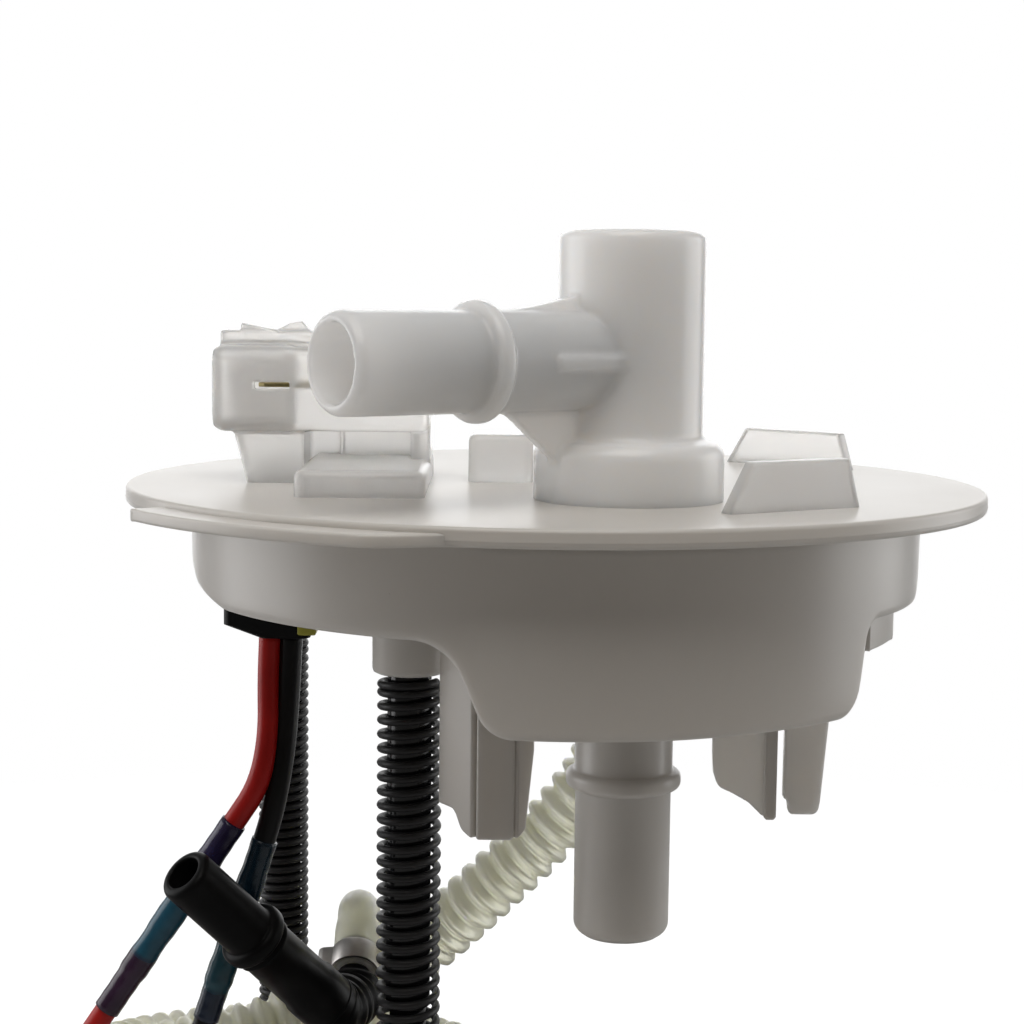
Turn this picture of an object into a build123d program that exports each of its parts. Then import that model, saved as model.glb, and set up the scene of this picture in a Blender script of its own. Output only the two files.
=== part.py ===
from build123d import *
import math
import os

os.makedirs("parts", exist_ok=True)

# Millimetres. Origin: axis of the round flange at the top face of its rim. Z up, -Y is the front.

# Flange: rim, skirt and the index ledge at the front left
rim_r = 75.0
rim_t = 3.0
ledge_r = 80.5
ledge_t = 2.0
ledge_from, ledge_to = 213.0, 252.0
skirt_r = 63.9
skirt_wall = 2.4
skirt_left_z = -18.6
skirt_deep_z = -33.2
skirt_side_z = -13.5
skirt_back_z = -13.0
step_left_x = -17.0
step_right_inset = 14.9
step_fillet = 5.5

# Vent valve: column, horizontal spigot, chamber under the plate, float
valve_x, valve_y = 11.1, -29.9
column_r = 11.9
column_top = 43.3
column_wall = 2.5
column_round = 1.6
collar_r = 15.5
collar_top = 9.7
collar_round = 2.4
collar_blend = 1.4
seat_z = 9.5
seat_t = 2.4
seat_hole_r = 3.0
seat_play = 0.3
spigot_r = 7.9
spigot_bore_r = 6.1
spigot_z = 22.6
spigot_turn = 216.1
spigot_reach = 56.9
bead_r = 9.5
bead_t = 3.0
bead_from_tip = 26.0
spigot_tip_round = 2.2
spigot_root_step = 0.2
web_t = 2.2
chamber_r = 12.0
chamber_wall = 2.4
chamber_bottom = -30.0
bottom_spigot_z = -72.7
bottom_bead_z = -46.3
bottom_plate_t = 3.0
float_r = 10.2
float_h = 18.0
float_nose = 4.0
float_travel = 4.0
float_pin_r = 2.2
cage_t = 1.6
valve_spring_r = 4.2
valve_wire = 0.7
valve_turns = 5

# Feed port: spigot above the plate, barb below it
feed_x, feed_y = 14.0, 12.0
line_r = 4.75
line_bore_r = 3.2
feed_top = 32.0
feed_bottom = -33.0
feed_barb_r = 3.9
feed_root_r = 8.0

# Guide rods, their bosses, springs and clips
rods = {"front": (-25.0, -14.0), "rear": (-51.0, 26.0)}
rod_r = 3.2
boss_r = 6.45
boss_bottom = -32.7
rod_top = -6.0
rod_bottom = -154.0
spring_r = 5.65
spring_wire = 1.4
spring_seat_gap = 0.2
clip_r = 4.8
clip_t = 1.2
clip_groove = 0.6
clip_end = 2.5
running_gap = 0.08

# Top ribs, tangential blades at the right of the plate: (x0, y0, x1, y1, height)
ribs = [(24.0, -52.0, 47.0, -38.0, 7.8), (36.0, 49.0, 58.0, 30.0, 7.0)]
rib_t = 2.8
rib_slope = 4.5

# Legs around the bottom spigot and the tongue inside the skirt
leg_t = 2.2
left_leg_z = -57.0
right_leg_z = -52.5
tongue_from, tongue_to = -33.0, -15.0
tongue_r = 60.4
tongue_t = 2.2
tongue_z = -25.2

# Electrical connector on top, plug and lock under the plate
shroud_x0, shroud_x1 = -60.0, -45.4
neck_x1 = -22.0
shroud_y0, shroud_y1 = -13.0, 9.0
shroud_z0, shroud_z1 = 9.0, 23.8
shroud_wall = 1.6
shroud_round = 2.8
stand_x0, stand_t = -42.0, 4.3
stand_y0, stand_y1 = -34.0, 13.0
terminal_w, terminal_t = 2.8, 0.8
terminal_rows = (-8.5, -4.0, 0.5, 5.0)
terminal_z = 17.0
terminal_tip_x = -51.6
plug_x, plug_y = -49.5, -6.0
plug_l, plug_w, plug_h = 15.5, 17.0, 21.0
plug_top = -5.6

# Reservoir: round pot with a flat at the rods and a flat for the level sender
pot_r = 60.0
pot_wall = 2.2
pot_floor = 2.6
pot_top = -128.0
pot_bottom = -205.0
foot_h = 2.0
flat_turn = 213.0
flat_reach = 39.0
back_flat_y = 46.0
pot_corner_r = 8.0
pot_foot_round = 3.0
band_t, band_h = 1.2, 4.0
rib_count, rib_out, rib_w = 5, 1.2, 1.6
rib_first, rib_step = 280.0, 22.0
foot_r, foot_inset = 5.0, 13.0
foot_angles = (80, 200, 320)
guide_r = 7.0
guide_bore_r = 5.6
guide_len = 22.0
lid_t = 2.0
lid_gap = 0.2
umbrella_x, umbrella_y = -8.0, -32.0
inlet_x, inlet_y = -34.0, 32.0
strainer_gap = 0.2
strainer_l, strainer_w, strainer_round = 44.0, 34.0, 8.0
strainer_forward = 6.0

# Pump in the pot
pump_x, pump_y = 16.0, 2.0
pump_r = 19.0
pump_shell_t = 1.2
pump_top = -131.0
pump_bottom = -199.0
pump_cap_h = 7.0
cap_sink = 5.0
cap_inset = 3.0
inlet_plate_t = 5.0
inlet_tube_r, inlet_tube_bore_r, inlet_tube_out = 4.0, 2.6, 9.0
pump_plug_l, pump_plug_w, pump_plug_h = 7.4, 10.0, 6.5
pump_plug_out, pump_plug_front = 7.6, 1.0
nipple_h = 7.0
nipple_r = 3.6
magnet_t = 4.0
magnet_half_turn = 70.0
magnet_low_gap, magnet_top_gap = 12.0, 11.0
core_r = 12.6
shaft_r = 1.6
impeller_r = 16.0
impeller_t = 3.6
ring_wall = 2.4
isolator_t = 1.6
isolator_h = 14.0
elbow_r = 6.6
elbow_z = -118.5
elbow_reach = 27.0
elbow_turn = 135.0
elbow_bore_r = 2.2
hose_barb_r = 4.1

# Level sender on the back flat
sender_x, sender_z = 4.0, -150.0
sender_w, sender_h, sender_t = 26.0, 34.0, 5.0
pivot_r = 2.5
hub_r = 5.5
hub_t = 4.0
arm_r = 1.2
arm_len = 84.0
arm_rest = -22.0
arm_bend_r = 4.0
arm_cross = 18.0
float_l, float_w, float_d = 34.0, 20.0, 14.0

# Cords: radii of wires, splices and hoses
wire_r = 1.5
sleeve_r = 2.35
feed_hose_r = 6.15
line_hose_r = 4.15
line_barb_r = 3.1
line_barb_len = 12.0
knee_r = 5.4
clamp_w = 4.8
clamp_t = 0.6


def at(x, y, z, shape):
    """The shape moved to a place."""
    return Pos(x, y, z) * shape


def rod_solid(x, y, z0, z1, r):
    """An upright cylinder between two heights."""
    return at(x, y, (z0 + z1) / 2, Cylinder(r, abs(z1 - z0)))


def tube_solid(x, y, z0, z1, r, bore):
    """An upright tube between two heights."""
    return rod_solid(x, y, z0, z1, r) - rod_solid(x, y, z0 - 1, z1 + 1, bore)


def block(x0, x1, y0, y1, z0, z1):
    """A box between corners."""
    return at((x0 + x1) / 2, (y0 + y1) / 2, (z0 + z1) / 2, Box(x1 - x0, y1 - y0, z1 - z0))


def sector(r0, r1, a0, a1, z0, z1):
    """A ring sector between two radii, two angles in degrees and two heights."""
    with BuildSketch(Plane.XY.offset(z0)) as sk:
        with BuildLine():
            inner = CenterArc((0, 0), r0, a0, a1 - a0)
            outer = CenterArc((0, 0), r1, a0, a1 - a0)
            Line(inner @ 0, outer @ 0)
            Line(inner @ 1, outer @ 1)
        make_face()
    return extrude(sk.sketch, z1 - z0)


def lathe(points, x=0.0, y=0.0, z=0.0):
    """A turned solid about a vertical axis from (radius, height) points."""
    face = make_face(Polyline(*[(r, 0, h) for r, h in points], close=True))
    return at(x, y, z, revolve(face, Axis.Z, 360))


def along(start, direction, shape):
    """A shape drawn along +Z from the origin, laid along a direction from a start point."""
    return Plane(origin=start, z_dir=direction).location * shape


def spigot_blank(length, bead_at, r, bead, bore):
    """A tube with a rounded tip, a round bead and a slightly stouter root, along +Z from 0 to its tip."""
    round_r = spigot_tip_round * r / spigot_r
    body = Pos(0, 0, length / 2) * Cylinder(r, length)
    body = fillet(body.edges().sort_by(Axis.Z)[-1], round_r)
    body += Pos(0, 0, bead_at / 2) * Cylinder(r + spigot_root_step, bead_at)
    ring = Pos(0, 0, bead_at) * Cylinder(bead, bead_t)
    ring = fillet(ring.edges(), min(bead - r, bead_t / 2) * 0.8)
    return body + ring - Pos(0, 0, length / 2) * Cylinder(bore, length + 2)


def save(name, solid):
    """Writes one named piece."""
    export_step(solid, f"parts/{name}.step")


def upright_plate(outline, y0, y1):
    """A plate with an outline of (x, z) points, from y0 to y1."""
    face = make_face(Polyline(*[(x, y0, z) for x, z in outline], close=True))
    return extrude(face, amount=y1 - y0, dir=(0, 1, 0))


def skirt_cutter():
    """The stepped lower outline of the skirt in front view, kept above its line."""
    far = skirt_r + 10
    s = step_fillet
    step_right = skirt_r - step_right_inset
    step = skirt_left_z - skirt_deep_z
    with BuildSketch(Plane.XZ) as sk:
        with BuildLine():
            FilletPolyline(
                (-far, skirt_side_z),
                (-skirt_r + 1, skirt_side_z),
                (-skirt_r + 9, skirt_left_z),
                (step_left_x - s / 2, skirt_left_z),
                (step_left_x + s / 2, skirt_deep_z),
                (step_right - s / 4, skirt_deep_z + step * 0.02),
                (step_right + s / 4, skirt_left_z),
                (skirt_r - 3, skirt_left_z + 1.2),
                (skirt_r + 2, skirt_side_z),
                (far, skirt_side_z),
                radius=3.0,
            )
            Polyline((far, skirt_side_z), (far, -rim_t), (-far, -rim_t), (-far, skirt_side_z))
        make_face()
    return extrude(sk.sketch, rim_r)


def flange_plate():
    """Round plate, ledge, skirt, rod bosses, valve chamber, ribs, legs and feed port in one moulding."""
    rim = fillet(rod_solid(0, 0, -rim_t, 0, rim_r).edges(), 0.6)
    ledge = sector(rim_r - 4, ledge_r, ledge_from, ledge_to, -rim_t, -rim_t + ledge_t)
    skirt = tube_solid(0, 0, skirt_deep_z, -rim_t / 2, skirt_r, skirt_r - skirt_wall)
    front = skirt & skirt_cutter()
    back = skirt & block(-rim_r, rim_r, 0, rim_r, skirt_back_z, 0)
    body = rim + ledge + front + back
    body += rod_solid(valve_x, valve_y, chamber_bottom, -rim_t / 2, chamber_r + chamber_wall)
    for x, y in rods.values():
        body += rod_solid(x, y, boss_bottom, -rim_t / 2, boss_r)
    for x0, y0, x1, y1, h in ribs:
        body += top_rib(x0, y0, x1, y1, h)
    body += block(stand_x0, neck_x1, stand_y0, stand_y1, -1, stand_t)
    body += sector(tongue_r - tongue_t, tongue_r, tongue_from, tongue_to, tongue_z, -rim_t / 2)
    body += legs()
    body += feed_port()
    body -= rod_solid(valve_x, valve_y, chamber_bottom - 1, 1, chamber_r)
    body -= rod_solid(feed_x, feed_y, feed_bottom - 1, feed_top + 1, line_bore_r)
    for x, y in rods.values():
        body -= rod_solid(x, y, boss_bottom - 1, rod_top, rod_r)
    return body


def top_rib(x0, y0, x1, y1, h):
    """A thin trapezoid blade standing on the plate between two foot points."""
    length = math.hypot(x1 - x0, y1 - y0)
    outline = [(0, -1), (length, -1), (length - rib_slope / 2, h), (rib_slope, h)]
    blade = upright_plate(outline, -rib_t / 2, rib_t / 2)
    turn = math.degrees(math.atan2(y1 - y0, x1 - x0))
    return Pos(x0, y0, 0) * Rot(0, 0, turn) * blade


def legs():
    """Two angle-section legs at the left and right of the bottom spigot."""
    top = -rim_t / 2
    face_y = valve_y + 2.5
    dark = upright_plate(
        [(-13.3, top), (-3.9, top), (-3.9, -40.5), (-5.4, left_leg_z + 3), (-7.2, left_leg_z),
         (-13.3, left_leg_z)], face_y, face_y + leg_t)
    side = upright_plate([(0, top), (9.4, top), (9.4, left_leg_z + 3.8), (5.0, left_leg_z + 2.4),
                          (0, left_leg_z)], -leg_t, 0)
    dark += Pos(-13.3, face_y, 0) * Rot(0, 0, 128) * side
    panel = upright_plate([(0, top), (10.6, top), (10.6, right_leg_z - 0.7), (6.4, right_leg_z + 2.3),
                           (2.2, right_leg_z + 4.2), (0, right_leg_z + 9)], 0, leg_t)
    panel = Pos(26.3, face_y + 5.5, 0) * Rot(0, 0, -29) * panel
    tongue = upright_plate(
        [(38.0, top), (45.8, top), (45.4, -37.5), (44.2, right_leg_z + 2.0), (43.0, right_leg_z),
         (38.0, right_leg_z)], face_y, face_y + leg_t)
    bridge = block(34.0, 40.0, face_y, face_y + leg_t, skirt_deep_z, top)
    return dark + panel + tongue + bridge


def feed_port():
    """Fuel outlet: a quick-connect spigot above the plate and a hose barb below it, on one axis."""
    upper = at(feed_x, feed_y, 0, spigot_blank(feed_top, feed_top - 19, line_r, line_r + 1.2, 1.0))
    root = rod_solid(feed_x, feed_y, -rim_t / 2, 5.0, feed_root_r)
    lower = rod_solid(feed_x, feed_y, feed_bottom, -rim_t / 2, feed_barb_r)
    barbs = [lathe([(0, 0), (feed_barb_r, 0), (feed_barb_r + 0.8, 2.2), (feed_barb_r, 2.6), (0, 2.6)],
                   feed_x, feed_y, feed_bottom + 1 + 4 * i) for i in range(3)]
    shoulder = rod_solid(feed_x, feed_y, feed_bottom + 14, -rim_t / 2, feed_root_r - 1)
    return upper + root + lower + barbs[0] + barbs[1] + barbs[2] + shoulder


def vent_housing():
    """Valve column with its collar, horizontal spigot, webs and the float's seat."""
    column = rod_solid(valve_x, valve_y, 0, column_top, column_r)
    column = fillet(column.edges().sort_by(Axis.Z)[-1], column_round)
    collar = rod_solid(valve_x, valve_y, 0, collar_top, collar_r)
    collar = fillet(collar.edges().sort_by(Axis.Z)[-1], collar_round)
    turn = math.radians(spigot_turn)
    out = (math.cos(turn), math.sin(turn), 0)
    start = (valve_x, valve_y, spigot_z)
    length = spigot_reach
    spigot = along(start, out, spigot_blank(length, length - bead_from_tip, spigot_r, bead_r, 1.0))
    high = upright_plate([(0, spigot_z), (24.5, spigot_z + spigot_r - 0.4), (column_r - 1, 33.0), (0, 33.0)],
                         -web_t / 2, web_t / 2)
    low = upright_plate([(0, spigot_z), (25.5, spigot_z - spigot_r + 0.4), (collar_r, collar_top - 3),
                         (0, collar_top - 3)], -web_t / 2, web_t / 2)
    side = at(13.0, 0, spigot_z, Box(26.0, 2 * spigot_r + 2.4, web_t * 0.7))
    webs = at(valve_x, valve_y, 0, Rot(0, 0, spigot_turn) * (high + low + side))
    hollow = 0.3 * collar_blend
    blend = lathe([(column_r - 1, collar_top - 1), (column_r + collar_blend, collar_top - 1),
                   (column_r + collar_blend, collar_top), (column_r + hollow, collar_top + hollow),
                   (column_r, collar_top + collar_blend), (column_r - 1, collar_top + collar_blend)],
                  valve_x, valve_y)
    body = column + collar + blend + spigot + webs
    body -= rod_solid(valve_x, valve_y, seat_z + seat_t, column_top - column_wall, column_r - column_wall)
    body -= rod_solid(valve_x, valve_y, -1, seat_z, chamber_r)
    body -= rod_solid(valve_x, valve_y, seat_z - 1, seat_z + seat_t + 1, seat_hole_r)
    bore = along(start, out, Pos(0, 0, length / 2 + 2) * Cylinder(spigot_bore_r, length))
    return body - bore


def bottom_spigot():
    """Round cover welded under the valve chamber, with the downward spigot."""
    length = chamber_bottom - bottom_spigot_z
    drawn = spigot_blank(length, chamber_bottom - bottom_bead_z, spigot_r, bead_r, spigot_bore_r)
    tube = along((valve_x, valve_y, chamber_bottom), (0, 0, -1), drawn)
    cover = tube_solid(valve_x, valve_y, chamber_bottom - bottom_plate_t, chamber_bottom,
                       chamber_r + chamber_wall, spigot_bore_r)
    return tube + cover


cage_z = chamber_bottom + 4.0
float_bottom = seat_z - seat_play - float_travel - float_nose - float_h


def valve_cage():
    """Perforated plate that carries the float's spring, on a rim at the chamber's foot."""
    plate = rod_solid(valve_x, valve_y, cage_z, cage_z + cage_t, chamber_r)
    plate += tube_solid(valve_x, valve_y, chamber_bottom, cage_z + 0.5, chamber_r, chamber_r - 1.4)
    for i in range(6):
        a = math.radians(60 * i)
        plate -= rod_solid(valve_x + 7.6 * math.cos(a), valve_y + 7.6 * math.sin(a), cage_z - 1,
                           cage_z + cage_t + 1, 1.8)
    return plate + rod_solid(valve_x, valve_y, cage_z, float_bottom + 3.0, float_pin_r - 0.3)


def valve_float():
    """Hollow float with a cone nose that closes the seat."""
    h = float_h
    return lathe([(float_pin_r, 0), (float_r, 0), (float_r, h - 1), (float_r - 1, h), (3.4, h),
                  (0.6, h + float_nose), (0, h + float_nose), (0, h - 2), (float_pin_r, h - 3)],
                 valve_x, valve_y, float_bottom)


def coil(x, y, z0, z1, r, wire, turns):
    """A wound spring between two heights, with a four-sided wire section."""
    height = z1 - z0 - wire
    path = Helix(pitch=height / turns, height=height, radius=r - wire / 2)
    section = Plane(origin=path @ 0, z_dir=path % 0) * Rectangle(wire * 0.86, wire * 0.86)
    return at(x, y, z0 + wire / 2, sweep(section, path=path, is_frenet=True))


def spring_sleeve(x, y, z0, z1):
    """The room that a wound spring takes up around its rod."""
    return tube_solid(x, y, z0, z1, spring_r, spring_r - spring_wire)


def guide_rod(x, y):
    """Round rod, pressed in its boss, with a clip groove near its lower end."""
    rod = rod_solid(x, y, rod_bottom, rod_top, rod_r)
    rod = chamfer(rod.edges().sort_by(Axis.Z)[0], 0.8)
    z = rod_bottom + clip_end
    return rod - tube_solid(x, y, z, z + clip_t, rod_r + 1, rod_r - clip_groove)


def rod_clip(x, y):
    """Open retaining ring in the rod's groove."""
    z = rod_bottom + clip_end
    ring = tube_solid(x, y, z, z + clip_t, clip_r, rod_r - clip_groove)
    return ring - block(x - 1.6, x + 1.6, y, y + clip_r + 1, z - 1, z + clip_t + 1)


def connector_body():
    """Socket shroud with an open mouth at the left, a side window and a solid neck on its stand."""
    outer = block(shroud_x0, neck_x1, shroud_y0, shroud_y1, shroud_z0, shroud_z1)
    outer = fillet(outer.edges().filter_by(Axis.X), shroud_round)
    w = shroud_wall
    hollow = block(shroud_x0 - 1, shroud_x1, shroud_y0 + w, shroud_y1 - w, shroud_z0 + w, shroud_z1 - w)
    hollow = fillet(hollow.edges().filter_by(Axis.X), shroud_round - 1.2)
    window = block(shroud_x0 + 1.2, shroud_x1, shroud_y0 - 1, shroud_y0 + w + 0.5, shroud_z0 + 2.2,
                   shroud_z1 - 2.2)
    body = outer - hollow - window
    mid_y = (shroud_y0 + shroud_y1) / 2
    body += block(stand_x0 + 6, neck_x1, mid_y - 6, mid_y + 6, stand_t, shroud_z0 + 1)
    body += block(shroud_x0 + 2.0, shroud_x0 + 5.5, mid_y - 7, mid_y + 7, 0, shroud_z0 + 1)
    body += block(-46.0, neck_x1, mid_y + 4, mid_y + 7, stand_t, shroud_z0 + 1)
    low_key = [(1.6, -0.5), (1.6, 2.6), (4.8, 2.6), (6.2, 3.8), (11.4, 2.4), (13.0, -0.5)]
    high_key = [(11.2, -0.5), (11.2, 2.4), (15.8, 4.2), (16.6, 2.8), (18.6, 2.4), (18.6, -0.5)]
    for key, y in ((low_key, mid_y - 4), (high_key, mid_y + 1.5)):
        body += upright_plate([(shroud_x0 + u, shroud_z1 + v) for u, v in key], y, y + 2.5)
    for y in terminal_rows:
        body -= block(shroud_x1 - 1, -40.0, y - terminal_w / 2, y + terminal_w / 2,
                      terminal_z - terminal_t / 2, terminal_z + terminal_t / 2)
    return body


def connector_terminals():
    """Flat blades set in the neck, tips in the socket."""
    blades = []
    for y in terminal_rows:
        blade = block(terminal_tip_x, -40.0, y - terminal_w / 2, y + terminal_w / 2,
                      terminal_z - terminal_t / 2, terminal_z + terminal_t / 2)
        blades.append(chamfer(blade.edges().filter_by(Axis.Z).sort_by(Axis.X)[:2], 0.7))
    return Compound(blades)


def under_socket():
    """Open-bottomed socket under the plate for the harness plug."""
    x0, x1 = plug_x - plug_l / 2 - 1.8, plug_x + plug_l / 2 + 1.8
    y0, y1 = plug_y - plug_w / 2 - 1.8, plug_y + plug_w / 2 + 1.8
    shell = block(x0, x1, y0, y1, plug_top - 10, -rim_t)
    return shell - block(x0 + 1.5, x1 - 1.5, y0 + 1.5, y1 - 1.5, plug_top - 11, plug_top)


def harness_plug():
    """Plug in the socket, with two wire holes in its foot."""
    bottom = plug_top - plug_h
    body = block(plug_x - plug_l / 2, plug_x + plug_l / 2, plug_y - plug_w / 2, plug_y + plug_w / 2,
                 bottom, plug_top - 0.2)
    return chamfer(body.edges().group_by(Axis.Z)[0], 1.2)


def plug_lock():
    """Locking slide across the plug's right side."""
    bottom = plug_top - plug_h
    x = plug_x + plug_l / 2
    lock = block(x, x + 3.4, plug_y - 5, plug_y + 5, bottom + 1.0, bottom + 7.0)
    return chamfer(lock.edges().filter_by(Axis.Y), 0.8)


def pot_outline(grow, z0, z1):
    """The pot's plan, a circle with two flats joined to it by round corners, changed by grow."""
    far = pot_r + 30
    plan = Circle(pot_r + grow)
    plan -= Rot(0, 0, flat_turn) * Pos(flat_reach + grow + far / 2, 0) * Rectangle(far, 2 * far)
    plan -= Pos(0, back_flat_y + grow + far / 2) * Rectangle(2 * far, far)
    plan = fillet(plan.vertices(), pot_corner_r + grow)
    return Pos(0, 0, z0) * extrude(plan, z1 - z0)


def pot_reach(a):
    """Distance from the axis to the pot's wall at an angle, on its circle or on one of its flats."""
    reach = [pot_r]
    for turn, flat in ((flat_turn, flat_reach), (90.0, back_flat_y)):
        c = math.cos(math.radians(a - turn))
        if c * pot_r > flat:
            reach.append(flat / c)
    return min(reach)


def pot_ribs():
    """Upright stiffening ribs around the pot's round wall, from its foot to the band."""
    ribs_low = pot_bottom + pot_foot_round
    ribs_high = pot_top - band_h + 0.5
    rib = block(pot_r - 1, pot_r + rib_out, -rib_w / 2, rib_w / 2, ribs_low, ribs_high)
    rib = chamfer(rib.faces().sort_by(Axis.Z)[0].edges().sort_by(Axis.X)[-1], rib_out * 0.9)
    return [Rot(0, 0, rib_first + rib_step * i) * rib for i in range(rib_count)]


def reservoir_pot():
    """Pot with feet, two guide tubes for the rods and a valve hole in its floor."""
    body = pot_outline(0, pot_bottom, pot_top)
    body = fillet(body.faces().sort_by(Axis.Z)[0].edges(), pot_foot_round)
    body += pot_outline(band_t, pot_top - band_h, pot_top)
    for rib in pot_ribs():
        body += rib
    body -= pot_outline(-pot_wall, pot_bottom + pot_floor, pot_top + 1)
    for x, y in rods.values():
        body += rod_solid(x, y, pot_bottom, pot_top, guide_r)
    for x, y in rods.values():
        body -= rod_solid(x, y, pot_bottom + pot_floor, pot_top + 1, guide_bore_r)
        bush = tube_solid(x, y, pot_top - guide_len, pot_top, guide_bore_r + 0.5, rod_r + running_gap)
        body += bush
    for a in foot_angles:
        r = pot_reach(a) - foot_inset
        x, y = r * math.cos(math.radians(a)), r * math.sin(math.radians(a))
        body += rod_solid(x, y, pot_bottom - foot_h, pot_bottom + 0.5, foot_r)
    body -= rod_solid(umbrella_x, umbrella_y, pot_bottom - 1, pot_bottom + pot_floor + 1, 2.0)
    for i in range(4):
        a = math.radians(90 * i + 45)
        body -= rod_solid(umbrella_x + 5 * math.cos(a), umbrella_y + 5 * math.sin(a), pot_bottom - 1,
                          pot_bottom + pot_floor + 1, 1.8)
    return body


strainer_top = pump_bottom - 1.0


def reservoir_lid():
    """Lid plate with a pump ring, rod clearances and the inlet stub of the return line."""
    z0 = pot_top + lid_gap
    z1 = z0 + lid_t
    plate = pot_outline(-0.4, z0, z1)
    plate += tube_solid(pump_x, pump_y, z0 - 12, z1, pump_r + isolator_t + ring_wall, pump_r + isolator_t)
    plate -= rod_solid(pump_x, pump_y, z0 - 13, z1 + 1, pump_r + isolator_t)
    for x, y in rods.values():
        plate -= rod_solid(x, y, z0 - 1, z1 + 1, spring_r + 1.6)
    stub = rod_solid(inlet_x, inlet_y, z0 - 30, z1 + 14, 3.0) + rod_solid(inlet_x, inlet_y, z0, z1 + 5, 5.0)
    plate = plate + stub - rod_solid(inlet_x, inlet_y, z0 - 31, z1 + 15, 1.8)
    for i in range(5):
        a = math.radians(-110 + 28 * i)
        plate -= rod_solid(45 * math.cos(a), 45 * math.sin(a), z0 - 1, z1 + 1, 4.0)
    return plate


def pump_shell():
    """Rolled steel shell of the pump, turned in at both ends."""
    shell = tube_solid(pump_x, pump_y, pump_bottom, pump_top, pump_r, pump_r - pump_shell_t)
    return shell


def pump_cap():
    """Outlet end cap with its nipple and two terminal posts."""
    body = rod_solid(pump_x, pump_y, pump_top - cap_sink, pump_top, pump_r - pump_shell_t)
    body += rod_solid(pump_x, pump_y, pump_top, pump_top + pump_cap_h, pump_r - cap_inset)
    body += rod_solid(pump_x, pump_y, pump_top + pump_cap_h, pump_top + pump_cap_h + nipple_h, nipple_r)
    for side in (-1, 1):
        x = pump_x + side * (brush_r1 + 1.3)
        body += block(x - 1.2, x + 1.2, pump_y - 3, pump_y + 3, brush_z - 3, pump_top - 4)
    bore = rod_solid(pump_x, pump_y, pump_top - 6, pump_top + 1, shaft_r + running_gap)
    outlet = rod_solid(pump_x, pump_y, pump_top, pump_top + pump_cap_h + nipple_h + 1, 1.9)
    return body - bore - outlet


def pump_brushes():
    """Two carbon brushes against the commutator, held by the cap."""
    pair = [block(pump_x - brush_r1, pump_x - brush_r0, pump_y - 2, pump_y + 2, brush_z - 2, brush_z + 2),
            block(pump_x + brush_r0, pump_x + brush_r1, pump_y - 2, pump_y + 2, brush_z - 2, brush_z + 2)]
    return Compound(pair)


def pump_inlet():
    """Inlet end plate with an eccentric inlet tube for the strainer."""
    top = pump_bottom + inlet_plate_t
    y = pump_y - inlet_tube_out
    body = rod_solid(pump_x, pump_y, pump_bottom, top, pump_r - pump_shell_t)
    body += rod_solid(pump_x, y, strainer_top, pump_bottom + 1, inlet_tube_r)
    body -= rod_solid(pump_x, y, pump_bottom - 3, top + 1, inlet_tube_bore_r)
    return body - rod_solid(pump_x, pump_y, pump_bottom + 1.5, top + 1, shaft_r + running_gap)


rotor_bottom = pump_bottom + 5.5
rotor_top = pump_top - 5.5
commutator_r = 7.0
brush_r0 = commutator_r + 0.3
brush_r1 = 13.0
brush_z = rotor_top - 6.5


def pump_magnets():
    """Two curved magnets against the shell."""
    r1 = pump_r - pump_shell_t
    pair = [Pos(pump_x, pump_y, 0) * sector(r1 - magnet_t, r1, a - magnet_half_turn, a + magnet_half_turn,
                                       rotor_bottom + magnet_low_gap, rotor_top - magnet_top_gap)
            for a in (0, 180)]
    return Compound(pair)


def pump_rotor():
    """Armature core, commutator and shaft in one turning piece."""
    body = rod_solid(pump_x, pump_y, rotor_bottom + 14, rotor_top - 10, core_r)
    for i in range(8):
        a = math.radians(45 * i)
        x, y = pump_x + core_r * math.cos(a), pump_y + core_r * math.sin(a)
        body -= rod_solid(x, y, rotor_bottom + 13, rotor_top - 9, 1.6)
    body += rod_solid(pump_x, pump_y, rotor_top - 10, rotor_top - 3, commutator_r)
    return body + rod_solid(pump_x, pump_y, pump_bottom + 2.0, pump_top - 1.5, shaft_r)


def pump_impeller():
    """Turbine wheel pressed on the shaft, with notches at its rim."""
    z0 = rotor_bottom + 0.6
    wheel = tube_solid(pump_x, pump_y, z0, z0 + impeller_t, impeller_r, shaft_r)
    for i in range(20):
        a = math.radians(18 * i)
        x, y = pump_x + impeller_r * math.cos(a), pump_y + impeller_r * math.sin(a)
        wheel -= rod_solid(x, y, z0 - 1, z0 + impeller_t + 1, 1.2)
    return wheel


def pump_isolator():
    """Soft sleeve between the pump and the lid's ring."""
    z1 = pot_top + lid_gap + lid_t
    return tube_solid(pump_x, pump_y, z1 - isolator_h, z1, pump_r + isolator_t, pump_r)


def strainer():
    """Flat filter bag on the pot's floor under the pump, with its collar."""
    z0 = pot_bottom + pot_floor + strainer_gap
    bag = at(pump_x, pump_y - strainer_forward, (z0 + strainer_top) / 2,
             Box(strainer_w, strainer_l, strainer_top - z0))
    return fillet(bag.edges().filter_by(Axis.Z), strainer_round)


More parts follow.
